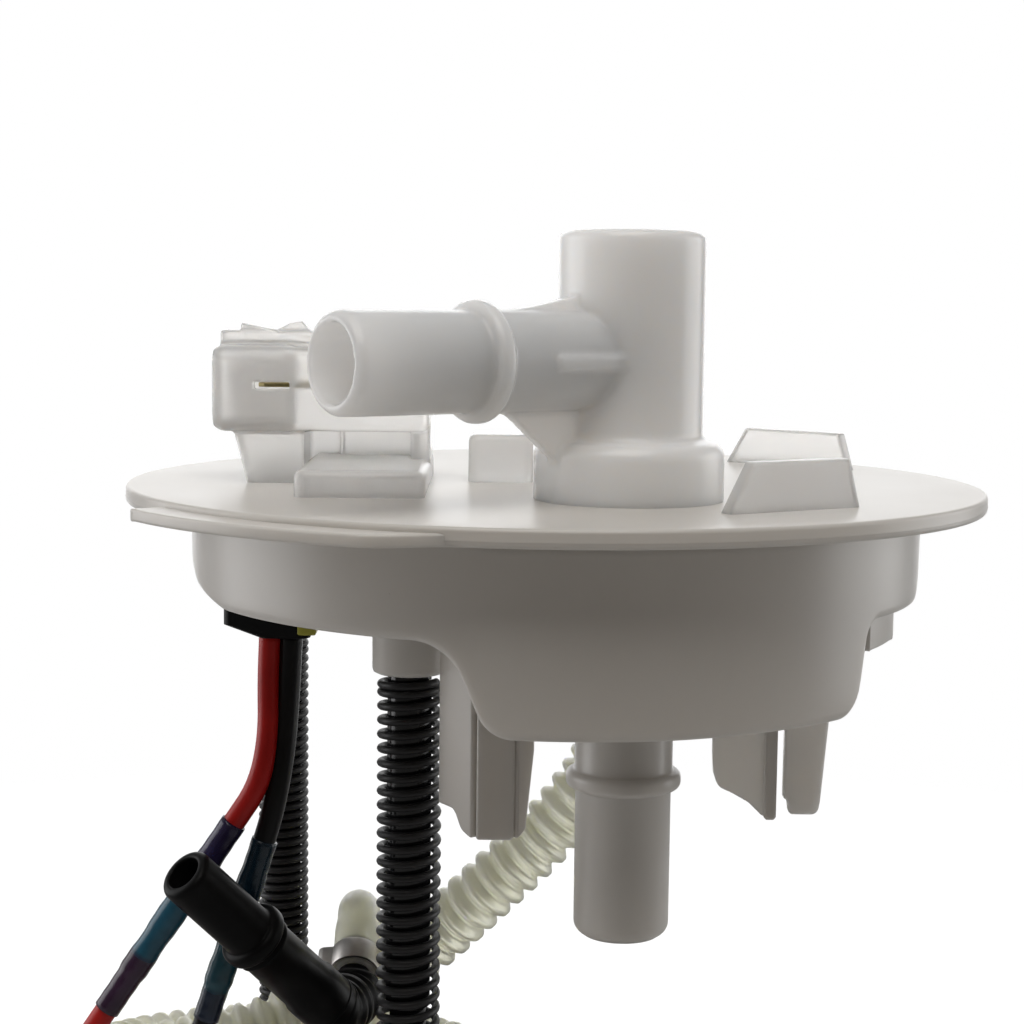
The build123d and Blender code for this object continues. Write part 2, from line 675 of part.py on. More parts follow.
def outlet_elbow():
    """Elbow pushed on the pump's nipple, with the feed hose's barb."""
    z0 = pump_top + pump_cap_h + 0.3
    body = rod_solid(pump_x, pump_y, z0, elbow_z + 6, elbow_r)
    turn = math.radians(elbow_turn)
    out = (math.cos(turn), math.sin(turn), 0)
    arm = Pos(0, 0, elbow_reach / 2) * Cylinder(hose_barb_r - 0.4, elbow_reach)
    for i in range(3):
        arm += Pos(0, 0, elbow_reach - 2.5 - 4 * i) * Cone(hose_barb_r + 0.3, hose_barb_r - 0.5, 2.4)
    body += along((pump_x, pump_y, elbow_z), out, arm)
    bore = Pos(0, 0, elbow_reach / 2 + 1) * Cylinder(elbow_bore_r, elbow_reach + 2)
    body -= along((pump_x, pump_y, elbow_z), out, bore)
    return body - rod_solid(pump_x, pump_y, z0 - 1, elbow_z + 2, nipple_r + 0.02)


def pump_plug():
    """Plug on the pump's terminals, where the two wires end."""
    z0 = pump_top + pump_cap_h
    x1, y1 = pump_x - pump_plug_out, pump_y - pump_plug_front
    body = block(x1 - pump_plug_l, x1, y1 - pump_plug_w, y1, z0, z0 + pump_plug_h)
    return chamfer(body.edges().group_by(Axis.Z)[-1], 0.8)


def umbrella_valve():
    """Soft mushroom valve in the pot's floor."""
    z0 = pot_bottom + pot_floor
    return lathe([(0, -4.6), (1.6, -4.6), (1.95, -3.4), (1.95, 0), (7.6, 0.1), (7.2, 0.9), (0, 1.6)],
                 umbrella_x, umbrella_y, z0)


sender_y = back_flat_y


def sender_body():
    """Level sender's frame on the pot's back flat, with the arm's pivot pin."""
    y1 = sender_y + sender_t
    body = block(sender_x - sender_w / 2, sender_x + sender_w / 2, sender_y, y1,
                 sender_z - sender_h / 2, sender_z + sender_h / 2)
    body = fillet(body.edges().filter_by(Axis.Y), 2.5)
    body -= block(sender_x - sender_w / 2 + 3, sender_x + sender_w / 2 - 3, y1 - 1.6, y1 + 1,
                  sender_z - sender_h / 2 + 3, sender_z - 4)
    pin = along((sender_x, y1 - 1, sender_z + 6), (0, 1, 0), Pos(0, 0, 4) * Cylinder(pivot_r, 8))
    return body + pin


def sender_card():
    """Resistor card in the frame's recess."""
    y1 = sender_y + sender_t
    return block(sender_x - sender_w / 2 + 3.3, sender_x + sender_w / 2 - 3.3, y1 - 1.6, y1 - 0.8,
                 sender_z - sender_h / 2 + 3.3, sender_z - 4.3)


hub_y = sender_y + sender_t + 0.5
pivot_z = sender_z + 6


def arm_point(reach, turn):
    """A point in the arm's plane at a reach and angle from the pivot."""
    a = math.radians(turn)
    return (sender_x + reach * math.cos(a), hub_y + hub_t / 2, pivot_z + reach * math.sin(a))


def arm_hub():
    """Hub of the float arm on the pivot pin, with its wiper finger."""
    y0 = hub_y
    hub = along((sender_x, y0, pivot_z), (0, 1, 0), Pos(0, 0, hub_t / 2) * Cylinder(hub_r, hub_t))
    finger = block(sender_x - 1.5, sender_x + 1.5, y0, y0 + 1.4, pivot_z - 20, pivot_z)
    arm = along(arm_point(0, 0), arm_axis(), Pos(0, 0, 7.5) * Cylinder(2.4, 15))
    body = hub + finger + arm
    body -= along((sender_x, y0 - 1, pivot_z), (0, 1, 0), Pos(0, 0, 5) * Cylinder(pivot_r + running_gap, 10))
    return body - along(arm_point(0, 0), arm_axis(), Pos(0, 0, 18) * Cylinder(arm_r, 24))


def arm_axis():
    """Direction of the float arm at rest."""
    a = math.radians(arm_rest)
    return (math.cos(a), 0, math.sin(a))


def float_arm():
    """Bent wire from the hub to the float."""
    start = arm_point(6, arm_rest)
    end = arm_point(arm_len, arm_rest)
    path = FilletPolyline(start, end, (end[0], end[1] + arm_cross, end[2]), radius=arm_bend_r)
    section = Plane(origin=path @ 0, z_dir=path % 0) * Circle(arm_r)
    return sweep(section, path=path)


def level_float():
    """Rounded float block on the arm's cross end."""
    end = arm_point(arm_len, arm_rest)
    body = fillet(Box(float_l, float_w, float_d).edges(), 3.0)
    turned = Pos(end[0], end[1] + arm_bend_r + 0.3 + float_w / 2, end[2]) * Rot(0, -arm_rest, 0) * body
    hole = along(end, (0, 1, 0), Pos(0, 0, arm_cross / 2 + 0.5) * Cylinder(arm_r, arm_cross))
    return turned - hole


# Routes of the wires and hoses, chosen by hand, from the flange end to the other end
red_top = [(-49.8, -6.0, -26.6), (-49.8, -6.0, -34.5), (-49.0, -7.8, -44.5), (-51.47, -9.8, -53.24),
           (-55.9, -10.0, -59.9)]
red_low = [(-78.4, -11.0, -93.7), (-83.2, -11.2, -100.9), (-84.2, -10.0, -109.5), (-74.5, -7.5, -117.0),
           (-61.0, -2.0, -120.6), (-42.0, 4.0, -121.6), (-20.0, 2.4, -121.6), (-9.0, -2.0, -121.0),
           (1.0, -2.0, -121.0)]
black_top = [(-45.0, -6.0, -26.6), (-45.0, -6.0, -35.5), (-46.0, -7.6, -46.5), (-48.31, -8.78, -56.06),
             (-50.6, -9.0, -63.2)]
black_low = [(-61.0, -10.0, -95.6), (-63.8, -10.3, -104.3), (-63.4, -9.6, -112.6), (-56.5, -6.5, -118.8),
             (-44.0, -2.0, -121.0), (-27.0, -2.4, -121.6), (-10.0, -6.2, -121.0), (1.0, -6.2, -121.0)]
feed_route = [(14.0, 12.0, -19.2), (14.0, 12.0, -38.0), (11.0, 12.6, -52.5), (1.0, 13.6, -66.5),
              (-11.0, 14.8, -78.5), (-22.5, 18.5, -90.6), (-35.5, 19.2, -100.0), (-51.0, 10.0, -104.6),
              (-68.0, 8.0, -108.6), (-83.0, 15.0, -113.5), (-86.0, 31.0, -118.0), (-73.0, 43.5, -119.4),
              (-54.0, 48.0, -119.6), (-34.0, 46.0, -119.4), (-16.0, 34.0, -118.5), (3.3, 14.7, -118.5)]
line_route = [(-34.0, 32.0, -120.6), (-34.2, 32.0, -108.5), (-35.2, 31.8, -97.0), (-36.0, 28.2, -88.0),
              (-36.2, 21.2, -84.6), (-35.8, 14.4, -87.8), (-35.8, 5.65, -92.6)]
fitting_tip = (-62.4, -26.0, -64.4)
fitting_far = (-38.3, -6.0, -95.4)
barb_root = (-35.8, 0.6, -95.4)


def arc_radii(points):
    """The largest fillet at each corner of a route that its shorter run allows."""
    radii = []
    for a, b, c in zip(points, points[1:], points[2:]):
        u, v = Vector(*b) - Vector(*a), Vector(*c) - Vector(*b)
        turn = math.radians(u.get_angle(v))
        radii.append(0.45 * min(u.length, v.length) / math.tan(turn / 2))
    return radii


def cord(name, points, r, bore=0.0):
    """A plain tube along a route of straight runs and tangent arcs."""
    radii = arc_radii(points)
    path = FilletPolyline(*points, radius=radii)
    section = Plane(origin=path @ 0, z_dir=path % 0) * Circle(r)
    body = sweep(section, path=path)
    print(name, "length", round(path.length, 1), "least radius", round(min(radii), 1),
          "volume ratio", round(body.volume / (math.pi * r * r * path.length), 3))
    return body


def straight(a, b, r):
    """A round bar between two points."""
    span = Vector(*b) - Vector(*a)
    return along(a, tuple(span), Pos(0, 0, span.length / 2) * Cylinder(r, span.length))


def wire_splice(a, b):
    """Butt splice sleeve over the joint of two wire ends, wide in the middle over its crimp barrel."""
    span = Vector(*b) - Vector(*a)
    n = span.length
    ends = Pos(0, 0, n / 2) * Cylinder(sleeve_r - 0.25, n)
    middle = Pos(0, 0, n / 2) * Cylinder(sleeve_r, n * 0.55)
    return along(a, tuple(span), ends + middle)


def line_fitting():
    """Elbow connector: quick-connect spigot with its bead, ribbed body and a hose barb."""
    far, tip = Vector(*fitting_far), Vector(*fitting_tip)
    span = tip - far
    spigot = along(fitting_far, tuple(span), spigot_blank(span.length, span.length - 19.5, line_r,
                                                         line_r + 1.35, 1.0))
    knee = straight(fitting_far, barb_root, knee_r)
    ball = Pos(*barb_root) * Sphere(knee_r) + Pos(*fitting_far) * Sphere(knee_r)
    return spigot + knee + ball + barb_blank(line_barb_r, line_barb_len)


def barb_blank(r, length):
    """A round bar along the elbow's barb, from its root."""
    rise = Vector(*line_route[-1]) - Vector(*barb_root)
    return along(barb_root, tuple(rise), Pos(0, 0, length / 2) * Cylinder(r, length))


def hose_clamp():
    """Ear clamp around the hose end on the elbow's barb."""
    rise = Vector(*line_route[-1]) - Vector(*barb_root)
    z = knee_r + 0.7 + clamp_w / 2
    r = line_hose_r + 0.05
    ring = Pos(0, 0, z) * (Cylinder(r + clamp_t, clamp_w) - Cylinder(r, clamp_w + 1))
    ear = Pos(0, r + clamp_t + 1.0, z) * Box(4.4, 2.4, clamp_w) - Pos(0, r + clamp_t + 0.8, z) * Box(
        2.8, 1.2, clamp_w + 1)
    return along(barb_root, tuple(rise), ring + ear)


def feed_hose():
    """Feed hose with its ends opened for the two barbs."""
    body = cord("feed hose", feed_route, feed_hose_r)
    body -= rod_solid(feed_x, feed_y, feed_bottom - 0.5, 0, feed_barb_r + 0.85)
    turn = math.radians(elbow_turn)
    out = (math.cos(turn), math.sin(turn), 0)
    socket = Pos(0, 0, elbow_reach / 2) * Cylinder(hose_barb_r + 0.35, elbow_reach + 1)
    return body - along((pump_x, pump_y, elbow_z), out, socket)


def line_hose():
    """Return hose with its ends opened for the lid's stub and the elbow's barb."""
    body = cord("line hose", line_route, line_hose_r)
    body -= rod_solid(inlet_x, inlet_y, pot_top, pot_top + lid_gap + lid_t + 14.4, 3.05)
    return body - barb_blank(line_barb_r + 0.05, line_barb_len + 0.4)


# Writing the pieces
plate = flange_plate() + under_socket()
housing = vent_housing()
save("flange_plate", plate)
save("vent_housing", housing)
save("bottom_spigot", bottom_spigot())
save("valve_cage", valve_cage())
save("valve_float", valve_float())
save("valve_spring", coil(valve_x, valve_y, cage_z + cage_t, float_bottom, valve_spring_r, valve_wire,
                          valve_turns))
save("connector_body", connector_body())
save("connector_terminals", connector_terminals())
save("harness_plug", harness_plug())
save("plug_lock", plug_lock())
for side, (x, y) in rods.items():
    save(f"guide_rod_{side}", guide_rod(x, y))
    save(f"rod_clip_{side}", rod_clip(x, y))
    save(f"spring_{side}", spring_sleeve(x, y, pot_top + spring_seat_gap, boss_bottom))
save("reservoir_pot", reservoir_pot())
save("reservoir_lid", reservoir_lid())
save("pump_shell", pump_shell())
save("pump_cap", pump_cap())
save("pump_inlet", pump_inlet())
save("pump_brushes", pump_brushes())
save("pump_magnets", pump_magnets())
save("pump_rotor", pump_rotor())
save("pump_impeller", pump_impeller())
save("pump_isolator", pump_isolator())
save("strainer", strainer())
save("outlet_elbow", outlet_elbow())
save("pump_plug", pump_plug())
save("umbrella_valve", umbrella_valve())
save("sender_body", sender_body())
save("sender_card", sender_card())
save("arm_hub", arm_hub())
save("float_arm", float_arm())
save("level_float", level_float())
save("red_wire_upper", cord("red upper", red_top, wire_r))
save("red_wire_lower", cord("red lower", red_low, wire_r))
save("black_wire_upper", cord("black upper", black_top, wire_r))
save("black_wire_lower", cord("black lower", black_low, wire_r))
save("splice_red", wire_splice(red_top[-1], red_low[0]))
save("splice_black", wire_splice(black_top[-1], black_low[0]))
save("feed_hose", feed_hose())
save("line_hose", line_hose())
save("hose_clamp", hose_clamp())
save("line_fitting", line_fitting())
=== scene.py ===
import bmesh
import bpy
import math
import numpy as np
from mathutils import Matrix, Vector


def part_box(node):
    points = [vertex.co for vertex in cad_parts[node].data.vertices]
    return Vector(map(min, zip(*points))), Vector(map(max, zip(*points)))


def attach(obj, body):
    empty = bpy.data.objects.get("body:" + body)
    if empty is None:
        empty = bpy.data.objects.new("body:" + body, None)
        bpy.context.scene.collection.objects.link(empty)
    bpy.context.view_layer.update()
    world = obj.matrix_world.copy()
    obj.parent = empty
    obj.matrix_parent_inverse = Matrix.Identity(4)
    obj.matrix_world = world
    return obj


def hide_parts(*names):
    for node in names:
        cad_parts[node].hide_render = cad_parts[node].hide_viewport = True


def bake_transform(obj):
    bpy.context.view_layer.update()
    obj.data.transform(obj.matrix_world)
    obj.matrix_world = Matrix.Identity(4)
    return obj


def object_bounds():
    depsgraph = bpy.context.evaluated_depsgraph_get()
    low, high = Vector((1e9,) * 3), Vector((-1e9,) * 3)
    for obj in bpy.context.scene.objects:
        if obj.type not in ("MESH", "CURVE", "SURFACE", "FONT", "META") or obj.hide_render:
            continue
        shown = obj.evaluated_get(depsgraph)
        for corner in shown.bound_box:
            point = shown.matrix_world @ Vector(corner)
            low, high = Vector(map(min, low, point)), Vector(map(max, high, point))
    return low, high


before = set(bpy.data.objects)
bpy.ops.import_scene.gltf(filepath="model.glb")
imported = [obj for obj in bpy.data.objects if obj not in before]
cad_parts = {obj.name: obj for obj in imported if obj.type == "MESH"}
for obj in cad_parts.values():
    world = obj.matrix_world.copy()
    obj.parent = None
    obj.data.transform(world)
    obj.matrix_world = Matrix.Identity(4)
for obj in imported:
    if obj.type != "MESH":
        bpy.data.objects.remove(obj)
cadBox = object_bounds()
mm = 0.001          # lengths below are in millimetres


# Mesh helpers: every surface is a grid of points worked out with numpy

# Points in millimetres and faces as equal-length index rows (or a list of such arrays) become a mesh object
def putMesh(name, points, faces, smooth=True):
    faces = faces if isinstance(faces, list) else [faces]
    groups = [np.asarray(rows, dtype=np.int64) for rows in faces if len(rows)]
    loops = np.concatenate([g.ravel() for g in groups])
    totals = np.concatenate([np.full(len(g), g.shape[1]) for g in groups])
    starts = np.concatenate([[0], np.cumsum(totals)[:-1]])
    mesh = bpy.data.meshes.new(name)
    mesh.vertices.add(len(points))
    mesh.vertices.foreach_set("co", (np.asarray(points, dtype=np.float64) * mm).ravel())
    mesh.loops.add(len(loops))
    mesh.loops.foreach_set("vertex_index", loops.astype(np.int32))
    mesh.polygons.add(len(totals))
    mesh.polygons.foreach_set("loop_start", starts.astype(np.int32))
    mesh.polygons.foreach_set("loop_total", totals.astype(np.int32))
    mesh.polygons.foreach_set("use_smooth", np.full(len(totals), smooth))
    mesh.update(calc_edges=True)
    mesh.validate()
    piece = bpy.data.objects.new(name, mesh)
    bpy.context.scene.collection.objects.link(piece)
    return piece


# Quads over a rows x cols grid of points, wrapped round where a direction is closed
def gridFaces(rows, cols, closeRows=False, closeCols=False):
    r = np.arange(rows if closeRows else rows - 1)
    c = np.arange(cols if closeCols else cols - 1)
    a, b = np.meshgrid(r, c, indexing="ij")
    a2, b2 = (a + 1) % rows, (b + 1) % cols
    return np.stack([a * cols + b, a * cols + b2, a2 * cols + b2, a2 * cols + b], -1).reshape(-1, 4)


# A polyline whose corners are arcs: each corner's arc touches both sides at radius/tan(half angle) from it
def roundedLine(points, radius, steps=5, closed=False):
    pts = [np.array(p, float) for p in points]
    radii = radius if isinstance(radius, (list, tuple)) else [radius] * len(pts)
    out = []
    n = len(pts)
    for i, p in enumerate(pts):
        if not closed and i in (0, n - 1):
            out.append(p)
            continue
        a, b = pts[i - 1] - p, pts[(i + 1) % n] - p
        la, lb = np.linalg.norm(a), np.linalg.norm(b)
        a, b = a / la, b / lb
        half = 0.5 * math.acos(float(np.clip(a @ b, -1, 1)))
        if radii[i] <= 0 or half > math.pi / 2 - 0.01:
            out.append(p)
            continue
        reach = min(radii[i] / math.tan(half), 0.49 * la, 0.49 * lb)
        r = reach * math.tan(half)
        centre = p + (a + b) / np.linalg.norm(a + b) * (r / math.sin(half))
        start, end = p + a * reach - centre, p + b * reach - centre
        sweep = math.acos(float(np.clip(start @ end / (r * r), -1, 1)))
        for t in np.linspace(0, 1, steps + 1):
            arc = math.sin((1 - t) * sweep) * start + math.sin(t * sweep) * end
            out.append(centre + arc / math.sin(sweep))
    return np.array(out)


# Three unit vectors: two across and one along a direction
def frameAlong(direction, hint=(0, 0, 1)):
    d = np.array(direction, float)
    d /= np.linalg.norm(d)
    side = np.cross(hint, d)
    if np.linalg.norm(side) < 1e-6:
        side = np.cross((0, 1, 0), d)
    side /= np.linalg.norm(side)
    return side, np.cross(d, side), d


# Triangles from a ring of points to a pole
def fanFaces(first, sides, pole, flip):
    steps = np.arange(sides)
    fan = np.stack([first + steps, first + (steps + 1) % sides, np.full(sides, pole)], -1)
    return fan[:, ::-1] if flip else fan


# A profile of (radius, height) rows turned about an axis: x = r cos
# a, y = r sin a, z = h. A zero radius at an end closes to a pole
def turned(name, profile, origin=(0, 0, 0), axis=(0, 0, 1), sides=96):
    u, v, w = frameAlong(axis)
    profile = np.asarray(profile, float)
    ends = (profile[0, 0] < 1e-6, profile[-1, 0] < 1e-6)
    rings = profile[int(ends[0]):len(profile) - int(ends[1])]
    closed = not any(ends) and np.allclose(profile[0], profile[-1])
    if closed:
        rings = rings[:-1]
    a = np.linspace(0, 2 * math.pi, sides, endpoint=False)
    ring = np.cos(a)[:, None] * u + np.sin(a)[:, None] * v
    pts = rings[:, 0, None, None] * ring[None] + rings[:, 1, None, None] * w + np.array(origin, float)
    pts = pts.reshape(-1, 3)
    faces = [gridFaces(len(rings), sides, closeRows=closed, closeCols=True)]
    for last in (0, 1):
        if ends[last]:
            faces.append(fanFaces(last * (len(rings) - 1) * sides, sides, len(pts), not last))
            pts = np.vstack([pts, np.array(origin, float) + w * profile[-last, 1]])
    return faceOut(putMesh(name, pts, faces))


# Turns the faces of a closed mesh outwards, by the sign of its volume
def faceOut(piece):
    mesh = piece.data
    mesh.calc_loop_triangles()
    co = np.empty(len(mesh.vertices) * 3)
    mesh.vertices.foreach_get("co", co)
    tri = np.empty(len(mesh.loop_triangles) * 3, dtype=np.int32)
    mesh.loop_triangles.foreach_get("vertices", tri)
    p = co.reshape(-1, 3)[tri.reshape(-1, 3)]
    if np.einsum("ij,ij->i", p[:, 0], np.cross(p[:, 1], p[:, 2])).sum() < 0:
        mesh.flip_normals()
    return piece


# Rings of equal point counts joined one after the other, with a fan over each open end
def lofted(name, rings, poles=None):
    rings = np.asarray(rings, float)
    count, sides = rings.shape[:2]
    first, last = poles or (rings[0].mean(axis=0), rings[-1].mean(axis=0))
    pts = np.vstack([rings.reshape(-1, 3), first, last])
    faces = [gridFaces(count, sides, closeCols=True), fanFaces(0, sides, count * sides, True),
             fanFaces((count - 1) * sides, sides, count * sides + 1, False)]
    return faceOut(putMesh(name, pts, faces))


# A ring of points carried along a path on frames that turn as little as possible; radii may change along it
def tubeAlong(name, path, radii, sides=24):
    path = np.asarray(path, float)
    tangent = np.gradient(path, axis=0)
    tangent /= np.linalg.norm(tangent, axis=1)[:, None]
    side = np.empty_like(path)
    side[0] = frameAlong(tangent[0])[0]
    for i in range(1, len(path)):      # one short step per ring keeps the frame from twisting
        s = side[i - 1] - tangent[i] * (side[i - 1] @ tangent[i])
        side[i] = s / np.linalg.norm(s)
    other = np.cross(tangent, side)
    a = np.linspace(0, 2 * math.pi, sides, endpoint=False)[None, :, None]
    r = np.broadcast_to(np.asarray(radii, float), (len(path),))[:, None, None]
    rings = path[:, None] + r * (np.cos(a) * side[:, None] + np.sin(a) * other[:, None])
    return lofted(name, rings, (path[0], path[-1]))


# Unit normals of a closed flat outline, away from its inside
def outlineNormals(outline):
    nxt = np.roll(outline, -1, 0)
    edge = nxt - np.roll(outline, 1, 0)
    normal = np.stack([edge[:, 1], -edge[:, 0]], -1)
    normal /= np.linalg.norm(normal, axis=1)[:, None]
    area = np.sum(outline[:, 0] * nxt[:, 1] - nxt[:, 0] * outline[:, 1])
    return normal * math.copysign(1, area)


# Rings of a plate: the outline is pulled in by lip (1 - sin t) where its edges round over
def pillow(outline, low, high, lip, steps=4):
    outline = np.asarray(outline, float)
    normal = outlineNormals(outline)
    arc = np.linspace(0, math.pi / 2, steps + 1)
    rows = [(t, low + lip * (1 - math.cos(t))) for t in arc]
    rows += [(t, high - lip * (1 - math.cos(t))) for t in arc[::-1]]
    return [(outline - normal * lip * (1 - math.sin(t)), height) for t, height in rows]


# A plate with rounded edges: its outline lies in the plane
# of across and up, its thickness along their cross product
def slab(name, outline, low, high, lip=0.5, origin=(0, 0, 0), across=(1, 0, 0), up=(0, 1, 0)):
    across, up = np.array(across, float), np.array(up, float)
    out = np.cross(across, up)
    rings = [xy[:, 0, None] * across + xy[:, 1, None] * up + h * out + np.array(origin, float)
             for xy, h in pillow(outline, low, high, lip)]
    count, sides = len(rings), len(rings[0])
    piece = putMesh(name, np.concatenate(rings), gridFaces(count, sides, closeCols=True))
    bm = bmesh.new()
    bm.from_mesh(piece.data)
    bm.verts.ensure_lookup_table()
    for first in (0, (count - 1) * sides):
        cap = bm.faces.new([bm.verts[first + i] for i in range(sides)])
        cap.smooth = False
    bmesh.ops.recalc_face_normals(bm, faces=bm.faces)
    bmesh.ops.triangulate(bm, faces=[f for f in bm.faces if len(f.verts) > 4])
    bm.to_mesh(piece.data)
    bm.free()
    return faceOut(piece)


# A rectangle's outline with arcs at its corners
def roundedBox(x0, x1, y0, y1, radius, steps=4):
    return roundedLine([(x0, y0), (x1, y0), (x1, y1), (x0, y1)], radius, steps, closed=True)


# A moulded form as the zero surface of a distance field: one point for each grid cell that the surface
# crosses, set at the mean of its edge crossings and then moved onto the surface along the field's slope
def castSkin(name, field, low, high, cell):
    low, high = np.array(low, float), np.array(high, float)
    n = np.ceil((high - low) / cell).astype(int) + 1
    axes = [low[i] + cell * np.arange(n[i]) for i in range(3)]
    grid = np.meshgrid(*axes, indexing="ij", sparse=True)
    values = field(*grid).astype(np.float32)
    values = np.broadcast_to(values, n).copy()
    inside = values < 0
    total = np.zeros(tuple(n - 1) + (3,), np.float32)
    hits = np.zeros(tuple(n - 1), np.uint8)
    quads = []
    for ax in range(3):
        first = [slice(None)] * 3
        second = [slice(None)] * 3
        first[ax], second[ax] = slice(0, -1), slice(1, None)
        f0, f1 = values[tuple(first)], values[tuple(second)]
        crossed = inside[tuple(first)] != inside[tuple(second)]
        idx = np.argwhere(crossed)
        t = f0[crossed] / (f0[crossed] - f1[crossed])
        where = idx.astype(np.float32)
        where[:, ax] += t
        o1, o2 = [a for a in range(3) if a != ax]
        corners = []
        for d1, d2 in ((0, 0), (1, 0), (1, 1), (0, 1)):
            cellIdx = idx.copy()
            cellIdx[:, o1] -= d1
            cellIdx[:, o2] -= d2
            corners.append(cellIdx)
            ok = np.all((cellIdx >= 0) & (cellIdx < n - 1), axis=1)
            c = cellIdx[ok]
            np.add.at(total, (c[:, 0], c[:, 1], c[:, 2]), where[ok])
            np.add.at(hits, (c[:, 0], c[:, 1], c[:, 2]), 1)
        ok = np.all([np.all((c >= 0) & (c < n - 1), axis=1) for c in corners], axis=0)
        flat = np.stack([np.ravel_multi_index(c[ok].T, tuple(n - 1)) for c in corners], -1)
        startsIn = inside[tuple(first)][crossed][ok]
        keep = startsIn if ax != 1 else ~startsIn
        flat[~keep] = flat[~keep][:, ::-1]
        quads.append(flat)
    quads = np.concatenate(quads)
    used, inverse = np.unique(quads.ravel(), return_inverse=True)
    count = hits.ravel()[used][:, None]
    pts = low + cell * total.reshape(-1, 3)[used] / count
    step = cell * 0.05
    for _ in range(3):
        f = field(pts[:, 0], pts[:, 1], pts[:, 2])
        slope = np.stack([(field(*(pts + e).T) - field(*(pts - e).T)) / (2 * step)
                          for e in np.eye(3) * step], -1)
        size = np.maximum((slope ** 2).sum(1), 0.25)
        pts = pts - np.clip(f / size, -cell * 0.6, cell * 0.6)[:, None] * slope
    return faceOut(putMesh(name, pts, inverse.reshape(-1, 4)))


# Distance fields: negative inside, in millimetres

# Distance to a cylinder with rounded rims, from the distance to its axis and the height from its middle
def roundCylinder(rho, h, radius, half, edge):
    dx = rho - (radius - edge)
    dy = np.abs(h) - (half - edge)
    return np.minimum(np.maximum(dx, dy), 0) + np.hypot(np.maximum(dx, 0), np.maximum(dy, 0)) - edge


# Distance to a box with rounded edges about the origin
def roundBox(x, y, z, half, edge):
    qx, qy, qz = np.abs(x) - half[0] + edge, np.abs(y) - half[1] + edge, np.abs(z) - half[2] + edge
    outside = np.sqrt(np.maximum(qx, 0) ** 2 + np.maximum(qy, 0) ** 2 + np.maximum(qz, 0) ** 2)
    return outside + np.minimum(np.maximum(qx, np.maximum(qy, qz)), 0) - edge


# Smooth union: where the two distances are within k of each other, a fillet joins them
def fuse(a, b, k):
    h = np.maximum(k - np.abs(a - b), 0) / k
    return np.minimum(a, b) - h * h * k * 0.25


# The first form with the second cut away and its edge softened over k
def carve(a, b, k):
    return -fuse(-a, b, k)


print("helpers ready")


# Materials

# A principled surface. Its colour, roughness and bump are varied further by the functions that follow
def newMaterial(name, color, roughness, **extra):
    material = bpy.data.materials.new(name)
    material.use_nodes = True
    shader = material.node_tree.nodes["Principled BSDF"]
    shader.inputs["Base Color"].default_value = (*color, 1)
    shader.inputs["Roughness"].default_value = roughness
    for key, value in extra.items():
        shader.inputs[key.replace("_", " ")].default_value = value
    return material, shader


# A node of a kind with its inputs set by name
def addNode(material, kind, **inputs):
    node = material.node_tree.nodes.new(kind)
    for key, value in inputs.items():
        node.inputs[key.replace("_", " ")].default_value = value
    return node


# Object coordinates through a Mapping node
def objectPoint(material, scale=(1, 1, 1)):
    coords = material.node_tree.nodes.new("ShaderNodeTexCoord")
    mapping = material.node_tree.nodes.new("ShaderNodeMapping")
    mapping.inputs["Scale"].default_value = scale
    material.node_tree.links.new(coords.outputs["Object"], mapping.inputs["Vector"])
    return mapping.outputs["Vector"]


def link(material, a, b):
    material.node_tree.links.new(a, b)


# A math node on two values, each a number or a socket
def mathNode(tree, operation, a, b):
    node = tree.nodes.new("ShaderNodeMath")
    node.operation = operation
    for socket, value in zip(node.inputs, (a, b)):
        if isinstance(value, bpy.types.NodeSocket):
            tree.links.new(value, socket)
        else:
            socket.default_value = value
    return node.outputs[0]


# A noise texture read at a point
def noise(material, vector, scale, detail=3.0, roughness=0.5):
    node = addNode(material, "ShaderNodeTexNoise", Scale=scale, Detail=detail, Roughness=roughness)
    link(material, vector, node.inputs["Vector"])
    return node.outputs["Fac"]


# A colour ramp through (position, colour) stops
def ramp(material, value, stops):
    node = material.node_tree.nodes.new("ShaderNodeValToRGB")
    elements = node.color_ramp.elements
    while len(elements) < len(stops):
        elements.new(0.5)
    for element, (position, color) in zip(elements, stops):
        element.position = position
        element.color = (*color, 1) if len(color) == 3 else color
    link(material, value, node.inputs["Fac"])
    return node.outputs["Color"]


# Two colours mixed; each may be a colour or a socket
def mixColor(material, fac, a, b, mode="MIX"):
    node = material.node_tree.nodes.new("ShaderNodeMix")
    node.data_type = "RGBA"
    node.blend_type = mode
    for socket, value in ((node.inputs[0], fac), (node.inputs[6], a), (node.inputs[7], b)):
        if isinstance(value, bpy.types.NodeSocket):
            link(material, value, socket)
        else:
            socket.default_value = value if isinstance(value, (int, float)) else (*value, 1)
    return node.outputs[2]


# A value scaled from one range to another and clamped
def remap(material, value, low, high, outLow, outHigh):
    node = addNode(material, "ShaderNodeMapRange")
    for i, number in zip((1, 2, 3, 4), (low, high, outLow, outHigh)):
        node.inputs[i].default_value = number
    link(material, value, node.inputs[0])
    return node.outputs[0]


# Surface relief of a height in metres
def bump(material, shader, height, strength, distance):
    node = addNode(material, "ShaderNodeBump", Strength=strength, Distance=distance)
    link(material, height, node.inputs["Height"])
    link(material, node.outputs["Normal"], shader.inputs["Normal"])


acetal = {
    "satin": (0.29, 0.34), "gloss": (0.19, 0.26), "speck": (0.22, 0.19, 0.15), "reach": (1.0, 0.93, 0.86),
}


